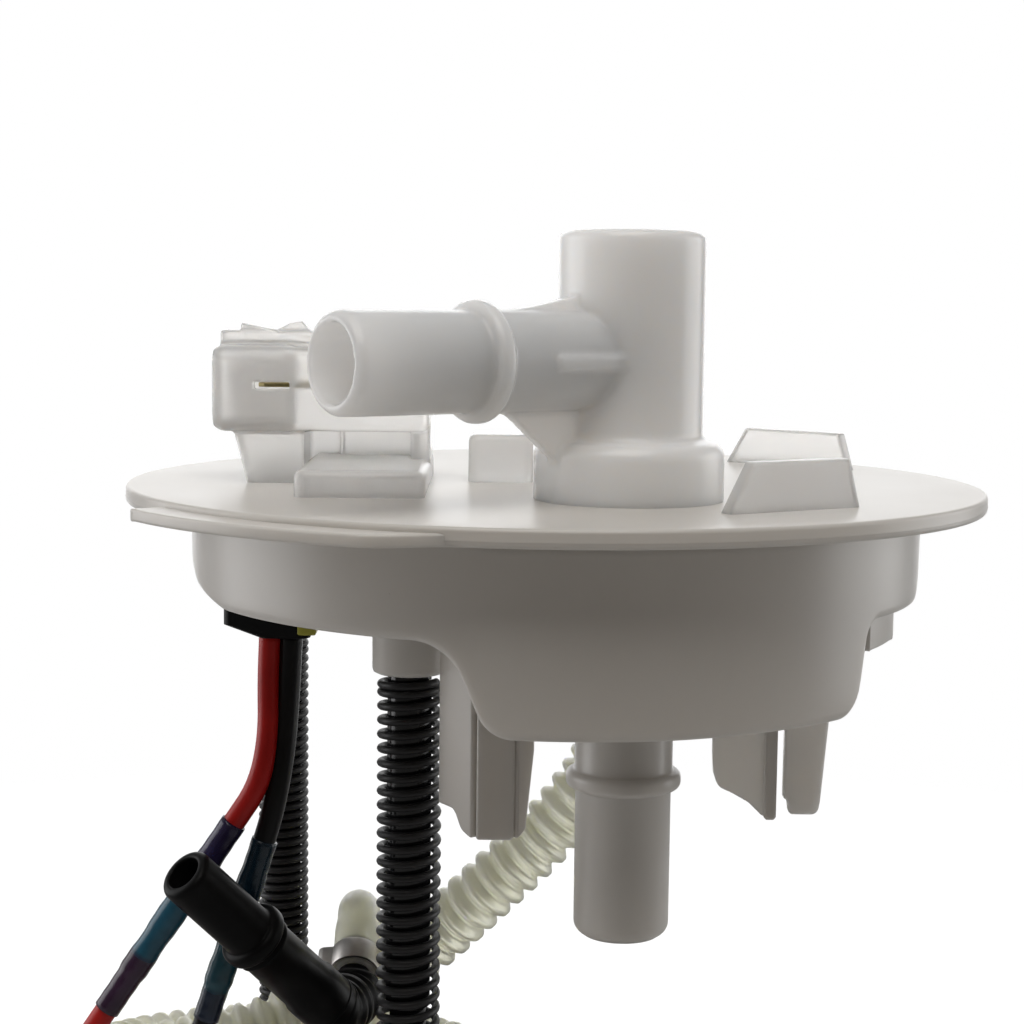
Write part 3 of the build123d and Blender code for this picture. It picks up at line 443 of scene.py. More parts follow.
# White moulded acetal: faint flow clouds, a fine skin, a few dust specks and rubbed patches in its gloss
def acetalMaterial(name, color, cloud, scatter, depth, clear, speckAmount=0.45, finish="gloss"):
    material, shader = newMaterial(
        name, color, 0.3, Subsurface_Weight=scatter, Subsurface_Radius=acetal["reach"],
        Subsurface_Scale=depth, Specular_IOR_Level=0.45, Transmission_Weight=clear)
    point = objectPoint(material)
    clouds = noise(material, point, 30.0, 1.0, 0.4)
    base = mixColor(material, remap(material, clouds, 0.35, 0.7, 0, 1), color, cloud)
    specks = remap(material, noise(material, point, 900.0, 2.0, 0.6), 0.80, 0.82, 0, 1)
    patch = remap(material, noise(material, point, 60.0, 2.0, 0.5), 0.3, 0.8, 0, speckAmount)
    dusty = mathNode(material.node_tree, "MULTIPLY", specks, patch)
    link(material, mixColor(material, dusty, base, acetal["speck"]), shader.inputs["Base Color"])
    rub = noise(material, point, 40.0, 2.0, 0.5)
    link(material, remap(material, rub, 0.3, 0.7, *acetal[finish]), shader.inputs["Roughness"])
    bump(material, shader, noise(material, point, 700.0, 2.0, 0.5), 0.06, 0.00004)
    return material


# Moulded dark or coloured plastic with a fine spark-eroded skin and uneven gloss
def plasticMaterial(name, color, rough=(0.35, 0.5), grain=1600.0, relief=0.00004, **extra):
    material, shader = newMaterial(name, color, rough[0], **extra)
    point = objectPoint(material)
    clouds = noise(material, point, 80.0, 4.0)
    lighter = tuple(min(1, c * 1.35 + 0.004) for c in color)
    link(material, mixColor(material, remap(material, clouds, 0.3, 0.75, 0, 1), color, lighter),
         shader.inputs["Base Color"])
    rub = noise(material, point, 260.0, 4.0)
    link(material, remap(material, rub, 0.3, 0.7, *rough), shader.inputs["Roughness"])
    bump(material, shader, noise(material, point, grain, 3.0), 0.25, relief)
    return material


# Bare metal with drawn lines along one direction and a little tarnish
def metalMaterial(name, color, rough=(0.25, 0.45), brush=(1, 1, 12)):
    material, shader = newMaterial(name, color, rough[0], Metallic=1.0)
    lines = noise(material, objectPoint(material, brush), 500.0, 4.0, 0.6)
    stain = remap(material, noise(material, objectPoint(material), 120.0, 4.0), 0.45, 0.75, 0, 1)
    dark = tuple(c * 0.55 for c in color)
    link(material, mixColor(material, stain, color, dark), shader.inputs["Base Color"])
    link(material, remap(material, lines, 0.3, 0.7, *rough), shader.inputs["Roughness"])
    bump(material, shader, lines, 0.12, 0.00004)
    return material


# See-through coloured tube wall: part transmission, part scatter
def clearMaterial(name, color, weight, rough=0.3, scatter=0.5):
    material, shader = newMaterial(
        name, color, rough, Transmission_Weight=weight, Subsurface_Weight=scatter,
        Subsurface_Radius=(1.0, 1.0, 0.8), Subsurface_Scale=0.003, IOR=1.45)
    point = objectPoint(material)
    clouds = remap(material, noise(material, point, 150.0, 3.0), 0.3, 0.7, 0, 1)
    lighter = tuple(min(1, c * 1.15) for c in color)
    link(material, mixColor(material, clouds, color, lighter), shader.inputs["Base Color"])
    bump(material, shader, noise(material, point, 900.0, 3.0), 0.15, 0.00005)
    return material


# Sender card: green ceramic with plated contact fingers, bands of a wave along x
def cardMaterial():
    material, shader = newMaterial("cardGreen", (0.07, 0.2, 0.13), 0.35)
    wave = addNode(material, "ShaderNodeTexWave", Scale=190.0, Distortion=0.0)
    link(material, objectPoint(material), wave.inputs["Vector"])
    tones = [(0.0, (0.05, 0.17, 0.10)), (0.55, (0.06, 0.19, 0.12)),
             (0.62, (0.42, 0.40, 0.34)), (1.0, (0.46, 0.44, 0.38))]
    link(material, ramp(material, wave.outputs["Fac"], tones), shader.inputs["Base Color"])
    return material


# name, colour, cloud colour, scatter weight and depth, transmission, specks, finish
# Painted shade: the pot's white acetal made darker and warmer, for the flange, its moulded pieces, the valve
# cage, float and strainer
shadedAcetal = acetalMaterial(
    "shadedAcetal", (0.63, 0.605, 0.57), (0.64, 0.615, 0.58), 0.4, 0.004, 0.0, 0.45, "satin")
potAcetal = acetalMaterial(
    "potAcetal", (0.76, 0.745, 0.72), (0.775, 0.76, 0.735), 0.4, 0.004, 0.0, 0.45, "satin")
# Painted light, partly real: a lighter copy of the same acetal for the thin right leg walls, whose stronger
# scatter and transmission are real translucency
thinLitAcetal = acetalMaterial("thinLitAcetal", (0.80, 0.78, 0.75), (0.81, 0.79, 0.76), 0.7, 0.005, 0.12)
# Painted light: near-white copies of the same acetal, for the valve housing and for the connector, top ribs
# and raised blocks
litHousingAcetal = acetalMaterial(
    "litHousingAcetal", (0.95, 0.935, 0.91), (0.955, 0.94, 0.92), 0.9, 0.010, 0.0, 0.3)
litSocketAcetal = acetalMaterial(
    "litSocketAcetal", (0.955, 0.94, 0.915), (0.96, 0.945, 0.925), 0.9, 0.008, 0.45, 0.2)
# name, colour, roughness range, grain, relief
blackNylon = plasticMaterial("blackNylon", (0.003, 0.003, 0.0033), (0.3, 0.42), Specular_IOR_Level=0.09)
rodCoat = plasticMaterial("rodCoat", (0.008, 0.008, 0.009), (0.12, 0.2), 900.0, 0.00002)
springWire = plasticMaterial(
    "springWire", (0.011, 0.011, 0.012), (0.42, 0.5), 1400.0, 0.00001, Specular_IOR_Level=0.35)
lockYellow = plasticMaterial("lockYellow", (0.42, 0.40, 0.05), (0.35, 0.5))
redInsulation = plasticMaterial(
    "redInsulation", (0.40, 0.007, 0.005), (0.34, 0.44), 700.0, 0.00002, Specular_IOR_Level=0.3)
blackInsulation = plasticMaterial(
    "blackInsulation", (0.004, 0.004, 0.0045), (0.34, 0.44), 700.0, 0.00002, Specular_IOR_Level=0.2)
blackRubber = plasticMaterial("blackRubber", (0.02, 0.02, 0.021), (0.55, 0.75), 1200.0, 0.00008)
floatFoam = plasticMaterial("floatFoam", (0.035, 0.033, 0.032), (0.75, 0.92), 1500.0, 0.0002)
carbonGrey = plasticMaterial("carbonGrey", (0.05, 0.05, 0.05), (0.6, 0.8), 1500.0, 0.0001)
cardGreen = cardMaterial()
brassBlade = metalMaterial("brassBlade", (0.30, 0.25, 0.12), (0.3, 0.42), (12, 1, 1))
steelBare = metalMaterial("steelBare", (0.5, 0.48, 0.46), (0.29, 0.44))
hosePale = clearMaterial("hosePale", (0.93, 0.92, 0.75), 0.5, 0.34, 0.8)


# Puts a material on a piece, says which body it rides on and which solids it stands for
def dress(piece, body, slot, material, *nodes):
    piece.data.materials.clear()
    piece.data.materials.append(material)
    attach(piece, body)
    if nodes:
        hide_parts(*nodes)
    return piece


# A white moulded piece of the flange, by default in the darker acetal copy that carries painted shade
def mould(piece, material=shadedAcetal, node="flange_plate"):
    return dress(piece, "flange", "pom_white", material, node)


print("materials ready")


# Camera, floor and light

viewer = {
    "place": (-10.06, -359.38, 32.76), "yaw": 0.39, "pitch": -6.09, "roll": 0.67, "lens": 71.37,
}


# The camera of the photograph: forward from yaw and pitch, then a turn about it by roll
def setCamera():
    yaw, pitch, roll = (math.radians(viewer[k]) for k in ("yaw", "pitch", "roll"))
    forward = Vector((math.sin(yaw) * math.cos(pitch), math.cos(yaw) * math.cos(pitch), math.sin(pitch)))
    side = forward.cross(Vector((0, 0, 1))).normalized()
    top = side.cross(forward)
    right = side * math.cos(roll) + top * math.sin(roll)
    up = -side * math.sin(roll) + top * math.cos(roll)
    data = bpy.data.cameras.new("photoCamera")
    data.lens = viewer["lens"]
    data.sensor_width = 36.0
    data.sensor_fit = "HORIZONTAL"
    data.clip_start = 0.01
    camera = bpy.data.objects.new("photoCamera", data)
    matrix = Matrix((right, up, -forward)).transposed().to_4x4()
    matrix.translation = Vector(viewer["place"]) * mm
    camera.matrix_world = matrix
    bpy.context.scene.collection.objects.link(camera)
    bpy.context.scene.camera = camera


studio = {
    "roomFront": (0.097, 0.085, 0.073), "roomBack": (0.16, 0.16, 0.16), "turnOver": 0.35, "glossShare": 0.25,
    "floorTone": 0.5, "floorLift": 0.74, "floorHalf": 900.0, "floorBack": 780.0, "floorGap": 0.5,
    "floorFade": (0.34, 0.70),
}
lamps = [
    # name, place, size, watts, colour
    ("topFront", (-0.04, -0.32, 0.68), 0.6, 3.2, (1.0, 0.98, 0.95)),
    ("topBack", (0.0, 0.45, 0.60), 0.8, 0.4, (0.98, 0.99, 1.0)),
    ("backBox", (0.0, 0.85, 0.05), 1.0, 4.0, (0.99, 0.995, 1.0)),
    ("leftLow", (-0.75, 0.12, 0.05), 0.6, 2.5, (0.99, 0.99, 1.0)),
    ("rightLow", (0.75, 0.22, 0.0), 0.6, 2.2, (1, 1, 1)),
]


# Softboxes above, behind and at both sides, all turned to the part
def setLamps():
    for name, place, size, watts, color in lamps:
        data = bpy.data.lights.new(name, "AREA")
        data.shape = "SQUARE"
        data.size = size
        data.energy = watts
        data.color = color
        lamp = bpy.data.objects.new(name, data)
        lamp.location = place
        lamp.rotation_euler = (-Vector(place)).to_track_quat("-Z", "Y").to_euler()
        bpy.context.scene.collection.objects.link(lamp)


# A room that is bright behind the part and dim and warm in front. White shows in place of it by
# the share max(camera ray, transmission ray, glossy ray * glossShare * fade towards the back)
def setRoom():
    world = bpy.data.worlds.new("studio")
    bpy.context.scene.world = world
    world.use_nodes = True
    tree = world.node_tree
    nodes, links = tree.nodes, tree.links
    nodes.clear()
    coords = nodes.new("ShaderNodeTexCoord")
    parts = nodes.new("ShaderNodeSeparateXYZ")
    links.new(coords.outputs["Generated"], parts.inputs[0])
    fade = nodes.new("ShaderNodeMapRange")
    fade.interpolation_type = "SMOOTHSTEP"
    fade.inputs[1].default_value = -studio["turnOver"]
    fade.inputs[2].default_value = studio["turnOver"]
    links.new(parts.outputs["Y"], fade.inputs[0])
    blend = nodes.new("ShaderNodeMix")
    blend.data_type = "RGBA"
    blend.inputs[6].default_value = (*studio["roomFront"], 1)
    blend.inputs[7].default_value = (*studio["roomBack"], 1)
    links.new(fade.outputs[0], blend.inputs[0])
    room = nodes.new("ShaderNodeBackground")
    links.new(blend.outputs[2], room.inputs["Color"])
    seen = nodes.new("ShaderNodeBackground")
    seen.inputs["Color"].default_value = (1, 1, 1, 1)
    rays = nodes.new("ShaderNodeLightPath").outputs
    direct = mathNode(tree, "MAXIMUM", rays["Is Camera Ray"], rays["Is Transmission Ray"])
    mirrored = mathNode(tree, "MULTIPLY", fade.outputs[0], studio["glossShare"])
    gloss = mathNode(tree, "MULTIPLY", rays["Is Glossy Ray"], mirrored)
    mix = nodes.new("ShaderNodeMixShader")
    links.new(mathNode(tree, "MAXIMUM", direct, gloss), mix.inputs[0])
    links.new(room.outputs[0], mix.inputs[1])
    links.new(seen.outputs[0], mix.inputs[2])
    out = nodes.new("ShaderNodeOutputWorld")
    links.new(mix.outputs[0], out.inputs["Surface"])


# A plain pale floor under the part, white for the camera and still shaded by the part. The camera sees
# through it far from the part and from below: alpha = 1 - camera ray * max(distance ramp, back side)
def setFloor():
    half, back = studio["floorHalf"], studio["floorBack"]
    low = cadBox[0][2] / mm - studio["floorGap"]
    pts = [(-half, -half, low), (half, -half, low), (half, back, low), (-half, back, low)]
    floor = putMesh("floor", pts, np.array([[0, 1, 2, 3]]), smooth=False)
    tone = (studio["floorTone"],) * 3
    material, shader = newMaterial("floorPaper", tone, 0.9, Emission_Color=(1, 1, 1, 1))
    tree = material.node_tree
    camera = tree.nodes.new("ShaderNodeLightPath").outputs["Is Camera Ray"]
    lift = mathNode(tree, "MULTIPLY", camera, studio["floorLift"])
    link(material, lift, shader.inputs["Emission Strength"])
    place = tree.nodes.new("ShaderNodeNewGeometry")
    far = tree.nodes.new("ShaderNodeVectorMath")
    far.operation = "LENGTH"
    link(material, place.outputs["Position"], far.inputs[0])
    gone = remap(material, far.outputs["Value"], *studio["floorFade"], 0, 1)
    hidden = mathNode(tree, "MAXIMUM", gone, place.outputs["Backfacing"])
    hidden = mathNode(tree, "MULTIPLY", hidden, camera)
    link(material, mathNode(tree, "SUBTRACT", 1.0, hidden), shader.inputs["Alpha"])
    floor.data.materials.append(material)


setCamera()
setLamps()
setRoom()
setFloor()
bpy.context.scene.view_settings.view_transform = "Standard"
print("camera and light ready")


# Wires and hoses: the routes are the same control points as in the part's source, in metres

cordRoutes = {
    "redTop": [(-0.0499, -0.006, -0.0266), (-0.0503, -0.006, -0.0345), (-0.0499, -0.0078, -0.0445),
               (-0.05147, -0.0098, -0.05324), (-0.0559, -0.01, -0.0599)],
    "redLow": [(-0.0784, -0.011, -0.0937), (-0.0832, -0.0112, -0.1009), (-0.0842, -0.01, -0.1095),
               (-0.0745, -0.0075, -0.117), (-0.061, -0.002, -0.1206), (-0.042, 0.004, -0.1216),
               (-0.02, 0.0024, -0.1216), (-0.009, -0.002, -0.121), (0.001, -0.002, -0.121)],
    "blackTop": [(-0.0462, -0.006, -0.0266), (-0.0466, -0.006, -0.0355), (-0.0472, -0.0076, -0.0465),
                 (-0.0487, -0.00878, -0.05606), (-0.0506, -0.009, -0.0632)],
    "blackLow": [(-0.061, -0.01, -0.0956), (-0.0638, -0.0103, -0.1043), (-0.0634, -0.0096, -0.1126),
                 (-0.0565, -0.0065, -0.1188), (-0.044, -0.002, -0.121), (-0.027, -0.0024, -0.1216),
                 (-0.01, -0.0062, -0.121), (0.001, -0.0062, -0.121)],
    "feedHose": [(0.014, 0.012, -0.0192), (0.014, 0.012, -0.038), (0.011, 0.0126, -0.0525),
                 (0.001, 0.0136, -0.0665), (-0.011, 0.0148, -0.0785), (-0.0225, 0.0185, -0.0906),
                 (-0.0355, 0.0192, -0.1), (-0.051, 0.01, -0.1046), (-0.068, 0.008, -0.1086),
                 (-0.083, 0.015, -0.1135), (-0.086, 0.031, -0.118), (-0.073, 0.0435, -0.1194),
                 (-0.054, 0.048, -0.1196), (-0.034, 0.046, -0.1194), (-0.016, 0.034, -0.1185),
                 (0.0033, 0.0147, -0.1185)],
    "lineHose": [(-0.034, 0.032, -0.1206), (-0.0342, 0.032, -0.1085), (-0.0352, 0.0318, -0.097),
                 (-0.036, 0.0282, -0.088), (-0.0362, 0.0212, -0.0846), (-0.0358, 0.0144, -0.0878),
                 (-0.0358, 0.00565, -0.0926)],
}


# The line of a cord, in metres, read from the NURBS spline through its control points
def routeLine(points):
    curve = bpy.data.curves.new("route", "CURVE")
    curve.dimensions = "3D"
    spline = curve.splines.new("NURBS")
    spline.points.add(len(points) - 1)
    for point, place in zip(spline.points, points):
        point.co = (*place, 1)
    spline.order_u = 3
    spline.use_endpoint_u = True
    spline.resolution_u = 24
    holder = bpy.data.objects.new("route", curve)
    mesh = bpy.data.meshes.new_from_object(holder)
    line = np.array([v.co for v in mesh.vertices])
    bpy.data.objects.remove(holder)
    bpy.data.curves.remove(curve)
    bpy.data.meshes.remove(mesh)
    return line


# Points a step apart along a line, by its running length
def evenly(line, step):
    run = np.concatenate([[0], np.cumsum(np.linalg.norm(np.diff(line, axis=0), axis=1))])
    s = np.linspace(0, run[-1], max(8, int(round(run[-1] / step)) + 1))
    return np.stack([np.interp(s, run, line[:, i]) for i in range(3)], -1), s


# A piece that hangs between the flange and the reservoir, with its place baked into its points
def crossing(piece):
    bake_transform(piece)
    return piece


# The material, slot and replaced solids of a piece that rides on no single body; the slot is not used
def finishWith(piece, slot, material, *nodes):
    piece.data.materials.clear()
    piece.data.materials.append(material)
    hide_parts(*nodes)


wire = {"diameter": 4.0, "redLength": 0.180, "blackLength": 0.152}
splice = {"end": 2.3, "middle": 2.55, "waist": 0.22, "ripple": 0.04}


# Heat-shrunk sleeve: a see-through middle over its crimp barrel and darker ends, from the height along it
def spliceMaterial(name, ends, middle, cut, blur):
    material, shader = newMaterial(name, middle, 0.22, Transmission_Weight=0.35, IOR=1.45)
    attribute = material.node_tree.nodes.new("ShaderNodeAttribute")
    attribute.attribute_name = "along"
    stops = [(0.0, ends[0]), (cut[0], ends[0]), (cut[0] + blur, middle), (cut[1] - blur, middle),
             (cut[1], ends[1]), (1.0, ends[1])]
    tone = ramp(material, attribute.outputs["Fac"], stops)
    point = objectPoint(material)
    mottle = remap(material, noise(material, point, 260.0, 4.0), 0.3, 0.7, 0.75, 1.25)
    node = material.node_tree.nodes.new("ShaderNodeVectorMath")
    node.operation = "SCALE"
    link(material, tone, node.inputs[0])
    link(material, mottle, node.inputs["Scale"])
    link(material, node.outputs[0], shader.inputs["Base Color"])
    bump(material, shader, noise(material, point, 420.0, 4.0), 0.35, 0.0002)
    return material


# 0 below low and 1 above high, with q q (3 - 2 q) between them
def smoothStep(s, low, high):
    q = np.clip((s - low) / (high - low), 0, 1)
    return q ** 2 * (3 - 2 * q)


# A shrunk sleeve between two wire ends: radius against
# length, narrow at both ends and waisted over the crimp
def makeSplice(name, start, end, node, material):
    axis = (np.array(end) - np.array(start)) / mm
    length = float(np.linalg.norm(axis))
    wireRadius = wire["diameter"] / 2
    s = np.linspace(0, 1, 90)
    rise = smoothStep(s, 0.17, 0.23) * (1 - smoothStep(s, 0.77, 0.83))
    crimp = np.exp(-((s - 0.36) / 0.05) ** 2) + np.exp(-((s - 0.64) / 0.05) ** 2)
    ripple = splice["ripple"] * np.sin(s * 61) * np.sin(s * 23)
    radius = splice["end"] + (splice["middle"] - splice["end"]) * rise
    radius = radius - splice["waist"] * crimp * rise + ripple
    radius = np.maximum(radius, wireRadius + 0.12)
    radius[0] = radius[-1] = wireRadius + 0.05
    path = np.array(start) / mm + s[:, None] * axis
    path[1], path[-2] = path[0] + axis / length * 0.08, path[-1] - axis / length * 0.08
    sleeve = tubeAlong(name, path, radius, 40)
    mesh = sleeve.data
    co = np.empty(len(mesh.vertices) * 3)
    mesh.vertices.foreach_get("co", co)
    along = ((co.reshape(-1, 3) / mm - np.array(start) / mm) @ (axis / length)) / length
    layer = mesh.attributes.new("along", "FLOAT", "POINT")
    layer.data.foreach_set("value", along.astype(np.float32))
    finishWith(sleeve, "sleeve_blue", material, node)
    crossing(sleeve)
    return sleeve


redSleeve = spliceMaterial(
    "redSleeve", ((0.035, 0.03, 0.10), (0.045, 0.02, 0.055)), (0.02, 0.13, 0.21), (0.26, 0.72), 0.03)
blackSleeve = spliceMaterial(
    "blackSleeve", ((0.010, 0.032, 0.055), (0.02, 0.035, 0.07)), (0.02, 0.10, 0.14), (0.40, 0.85), 0.03)


# One wire from the plug under the flange to the plug on the pump, through its splice
def makeWire(color, material, sleeveMaterial):
    top, low = cordRoutes[color + "Top"], cordRoutes[color + "Low"]
    sleeve = makeSplice(color + "Splice", top[-1], low[0], "splice_" + color, sleeveMaterial)
    path, _ = evenly(routeLine(top + low), 0.0016)
    piece = tubeAlong(color + "Wire", path / mm, wire["diameter"] / 2, 20)
    finishWith(piece, "wire_" + color, material, color + "_wire_upper", color + "_wire_lower")
    crossing(piece)


makeWire("red", redInsulation, redSleeve)
makeWire("black", blackInsulation, blackSleeve)

bellows = {"radius": 6.1, "depth": 1.4, "pitch": 3.7, "cuff": 5.0, "cuffLength": 14.0, "length": 0.262}


# Corrugated hose: radius = crest - depth (1 - rounded wave of the length / pitch), plain at both cuffs
def makeFeedHose():
    line = routeLine(cordRoutes["feedHose"])
    path, s = evenly(line, bellows["pitch"] * mm / 10)
    s = s / mm
    total = s[-1]
    phase = (s / bellows["pitch"]) % 1.0
    crest = np.clip(np.cos((phase - 0.5) * 2 * math.pi) * 1.12 + 0.12, -1, 1)
    wave = bellows["radius"] - bellows["depth"] * (1 - crest) / 2
    fromEnd = np.minimum(s, total - s)
    cuff = np.clip((fromEnd - bellows["cuffLength"]) / 1.2, 0, 1)
    radius = bellows["cuff"] + (wave - bellows["cuff"]) * cuff
    hose = tubeAlong("feedHose", path / mm, radius, 40)
    finishWith(hose, "hose_pale", hosePale, "feed_hose")
    crossing(hose)


lineTube = {"radius": 4.15, "length": 0.055}


# Smooth short hose with a slightly belled end over the elbow's barb
def makeLineHose():
    line = routeLine(cordRoutes["lineHose"])
    path, s = evenly(line, 0.0007)
    s = s / mm
    swell = np.clip((s - s[-1] + 14) / 3, 0, 1) * 0.35 + np.clip((12 - s) / 3, 0, 1) * 0.3
    radius = lineTube["radius"] - 0.3 + swell
    radius[0] = radius[-1] = lineTube["radius"] - 0.7
    hose = tubeAlong("lineHose", path / mm, radius, 40)
    dress(hose, "reservoir", "hose_pale", hosePale, "line_hose")
    return hose, path


makeFeedHose()
lineHose, linePath = makeLineHose()
print("cords ready")


# Guide rods, springs and clips

rodSpots = {"front": (-25.0, -14.0), "rear": (-51.0, 26.0)}
# each rod is thicker, by its sleeve's radius, from above the pot's highest place up to its boss
rod = {
    "radius": 3.2, "chamfer": 0.8, "sleeve": {"front": 3.85, "rear": 3.3}, "sleeveFrom": -91.0,
    "sleeveTo": -31.0,
}
# coil radius, wire radius and pitch of each spring
spring = {"front": (4.95, 0.7, 2.5), "rear": (4.15, 0.65, 1.75), "closedTurns": 1.5}


# A solid's lowest and highest corners in millimetres
def boxOf(node):
    low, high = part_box(node)
    return np.array(low) / mm, np.array(high) / mm


# A round bar with chamfered ends and the groove of its clip
def makeRod(name, spot):
    low, high = boxOf("guide_rod_" + name)
    clipLow, clipHigh = boxOf("rod_clip_" + name)
    r, c, sleeve = rod["radius"], rod["chamfer"], rod["sleeve"][name]
    z0, z1 = low[2], high[2]
    g0, g1 = clipLow[2], clipHigh[2]
    profile = [(0, z0), (r - c, z0), (r - 0.1, z0 + c - 0.1), (r, z0 + c), (r, g0 - 0.02), (r - 0.6, g0),
               (r - 0.6, g1), (r, g1 + 0.02), (r, rod["sleeveFrom"] - 0.4), (sleeve, rod["sleeveFrom"]),
               (sleeve, rod["sleeveTo"]), (r, rod["sleeveTo"] + 0.4), (r, z1 - 0.4), (r - 0.4, z1), (0, z1)]
    piece = turned("guideRod" + name.capitalize(), profile, (*spot, 0), sides=48)
    sharpen(piece)
    dress(piece, "flange", "rod_black", rodCoat, "guide_rod_" + name)


# Marks the edges where faces meet at more than an angle, so that shading breaks there
def sharpen(piece, angle=35.0):
    piece.data.set_sharp_from_angle(angle=math.radians(angle))
    return piece


# A round wire wound round its rod: x = r cos a, y = r sin a, z rising with the turns, closed at both ends
def makeSpring(name, spot):
    low, high = boxOf("spring_" + name)
    coil, thick, pitch = spring[name]
    z0, z1 = low[2] + thick, high[2] - thick
    closed = spring["closedTurns"]
    turns = 2 * closed + (z1 - z0 - 2 * closed * 2 * thick) / pitch
    perTurn = 30
    t = np.linspace(0, turns, int(turns * perTurn) + 1)
    slope = np.where((t < closed) | (t > turns - closed), 2 * thick, pitch)
    z = z0 + np.concatenate([[0], np.cumsum(slope[1:] * np.diff(t))])
    z = z0 + (z - z0) * (z1 - z0) / (z[-1] - z0)
    a = 2 * math.pi * t + 0.9
    path = np.stack([spot[0] + coil * np.cos(a), spot[1] + coil * np.sin(a), z], -1)
    piece = tubeAlong("spring" + name.capitalize(), path, thick, 12)
    finishWith(piece, "spring_dark", springWire, "spring_" + name)
    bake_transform(piece)


for rodName, rodSpot in rodSpots.items():
    makeRod(rodName, rodSpot)
    makeSpring(rodName, rodSpot)
print("rods and springs ready")


# Tank flange: plate, ledge, skirt and what is moulded on them

plate = {
    "radius": 75.0, "thick": 3.0, "edge": 0.7, "ledgeRadius": 80.5, "ledgeFrom": 213.0, "ledgeTo": 252.0,
    "ledgeThick": 2.0, "skirtRadius": 63.9, "skirtWall": 2.4, "skirtDraft": 0.012, "skirtBand": 1.5,
    "skirtLip": 0.4,
}
bossRadius, bossBottom = 6.6, -32.0


# The round plate: a turned profile with rounded edges and a faint parting line two thirds down its edge
def makePlate():
    r, t, e = plate["radius"], plate["thick"], plate["edge"]
    top = [(r - e + e * math.sin(a), -e + e * math.cos(a)) for a in np.linspace(0, math.pi / 2, 7)]
    low = [(r - e + e * math.cos(a), -t + e - e * math.sin(a)) for a in np.linspace(0, math.pi / 2, 7)]
    seam = [(r + 0.02, -t * 0.62), (r + 0.07, -t * 0.66), (r + 0.02, -t * 0.70)]
    rings = [(0, 0)] + [(q, 0) for q in (12, 25, 38, 50, 60, 68)] + top + seam + low
    rings += [(q, -t) for q in (68, 60, 40, 20)] + [(0, -t)]
    mould(turned("flangePlate", rings, sides=256))


# The index ledge: a ring sector with a step at its left end and a run-out at its right end
def makeLedge():
    r0, r1 = plate["radius"] - 4, plate["ledgeRadius"]
    a = np.radians(np.linspace(plate["ledgeFrom"], plate["ledgeTo"] + 6, 64))
    ease = np.clip((np.degrees(a) - plate["ledgeTo"] + 4) / 10, 0, 1)
    r = r1 - (r1 - plate["radius"] + 0.4) * ease * ease * (3 - 2 * ease)
    outer = np.stack([r * np.cos(a), r * np.sin(a)], -1)
    inner = np.stack([r0 * np.cos(a[::-1]), r0 * np.sin(a[::-1])], -1)
    low = -plate["thick"]
    mould(slab("indexLedge", np.vstack([outer, inner]), low, low + plate["ledgeThick"], 0.45))


# The skirt's lower edge against the angle about the flange's axis, in degrees: angle, height, corner radius
skirtEdge = [
    (-180, -13.3, 0), (-172, -13.5, 3), (-163, -16.7, 6), (-150, -18.8, 12), (-106.0, -18.9, 9),
    (-100.4, -33.2, 6), (-76, -33.4, 30), (-42.0, -33.2, 5), (-39.5, -18.2, 5), (-16.5, -18.4, 5),
    (-10, -13.6, 3), (0, -13.3, 6), (20, -13.0, 20), (160, -13.0, 20), (180, -13.3, 0),
]


# Height of the skirt's lower edge at an angle: a rounded polyline over the unrolled wall
def skirtBottom(angle):
    r = plate["skirtRadius"]
    pts = [(math.radians(a) * r, z) for a, z, _ in skirtEdge]
    line = roundedLine(pts, [c for _, _, c in skirtEdge], 10)
    return np.interp(angle * r, line[:, 0], line[:, 1])


# The skirt wall: radius and height against the angle, from the plate down
# the outside, round the lower edge in a rounded band and up the inside
def makeSkirt():
    r, w = plate["skirtRadius"], plate["skirtWall"]
    draft, band, lip = plate["skirtDraft"], plate["skirtBand"], plate["skirtLip"]
    a = np.linspace(-math.pi, math.pi, 900, endpoint=False)
    bottom = skirtBottom(a)
    topZ = -plate["thick"] + 0.3
    rings = []
    for t in np.linspace(0, 1, 12):
        z = topZ + (bottom + band - topZ) * t
        rings.append((r - draft * (topZ - z), z))
    for q in np.linspace(0.12, 1, 8) * math.pi / 2:
        outside = r - draft * (topZ - bottom) - (1 - math.cos(q))
        rings.append((outside, bottom + band * (1 - math.sin(q))))
    for q in np.linspace(0.2, 1, 4) * math.pi / 2:
        rings.append((r - w + lip * (1 - math.sin(q)), bottom + lip * (1 - math.cos(q))))
    for t in np.linspace(0.1, 1, 8):
        rings.append((r - w, bottom + lip + (topZ - bottom - lip) * t))
    pts = np.concatenate([np.stack([q * np.cos(a), q * np.sin(a), z], -1) for q, z in rings])
    piece = putMesh("flangeSkirt", pts, gridFaces(len(rings), len(a), closeRows=True, closeCols=True))
    mould(faceOut(piece))


# A rod's boss under the plate: a tube with a rounded lower edge, turned about the rod
def makeBoss(name, spot):
    r, z, bore = bossRadius, bossBottom, rod["radius"] + 0.02
    profile = [(bore, -2.0), (r, -2.0), (r - 0.12, z + 0.9), (r - 0.3, z + 0.3), (r - 0.9, z),
               (rod["radius"] + 0.5, z), (bore, z + 0.5), (bore, -2.0)]
    mould(sharpen(turned("rodBoss" + name.capitalize(), profile, (*spot, 0), sides=72), 50))


topRibs = [  # x0, y0, x1, y1, height, left slope, right slope
    (24.0, -52.0, 47.0, -38.0, 7.8, 5.2, 2.6), (36.0, 49.0, 58.0, 30.0, 7.0, 5.0, 2.6),
]


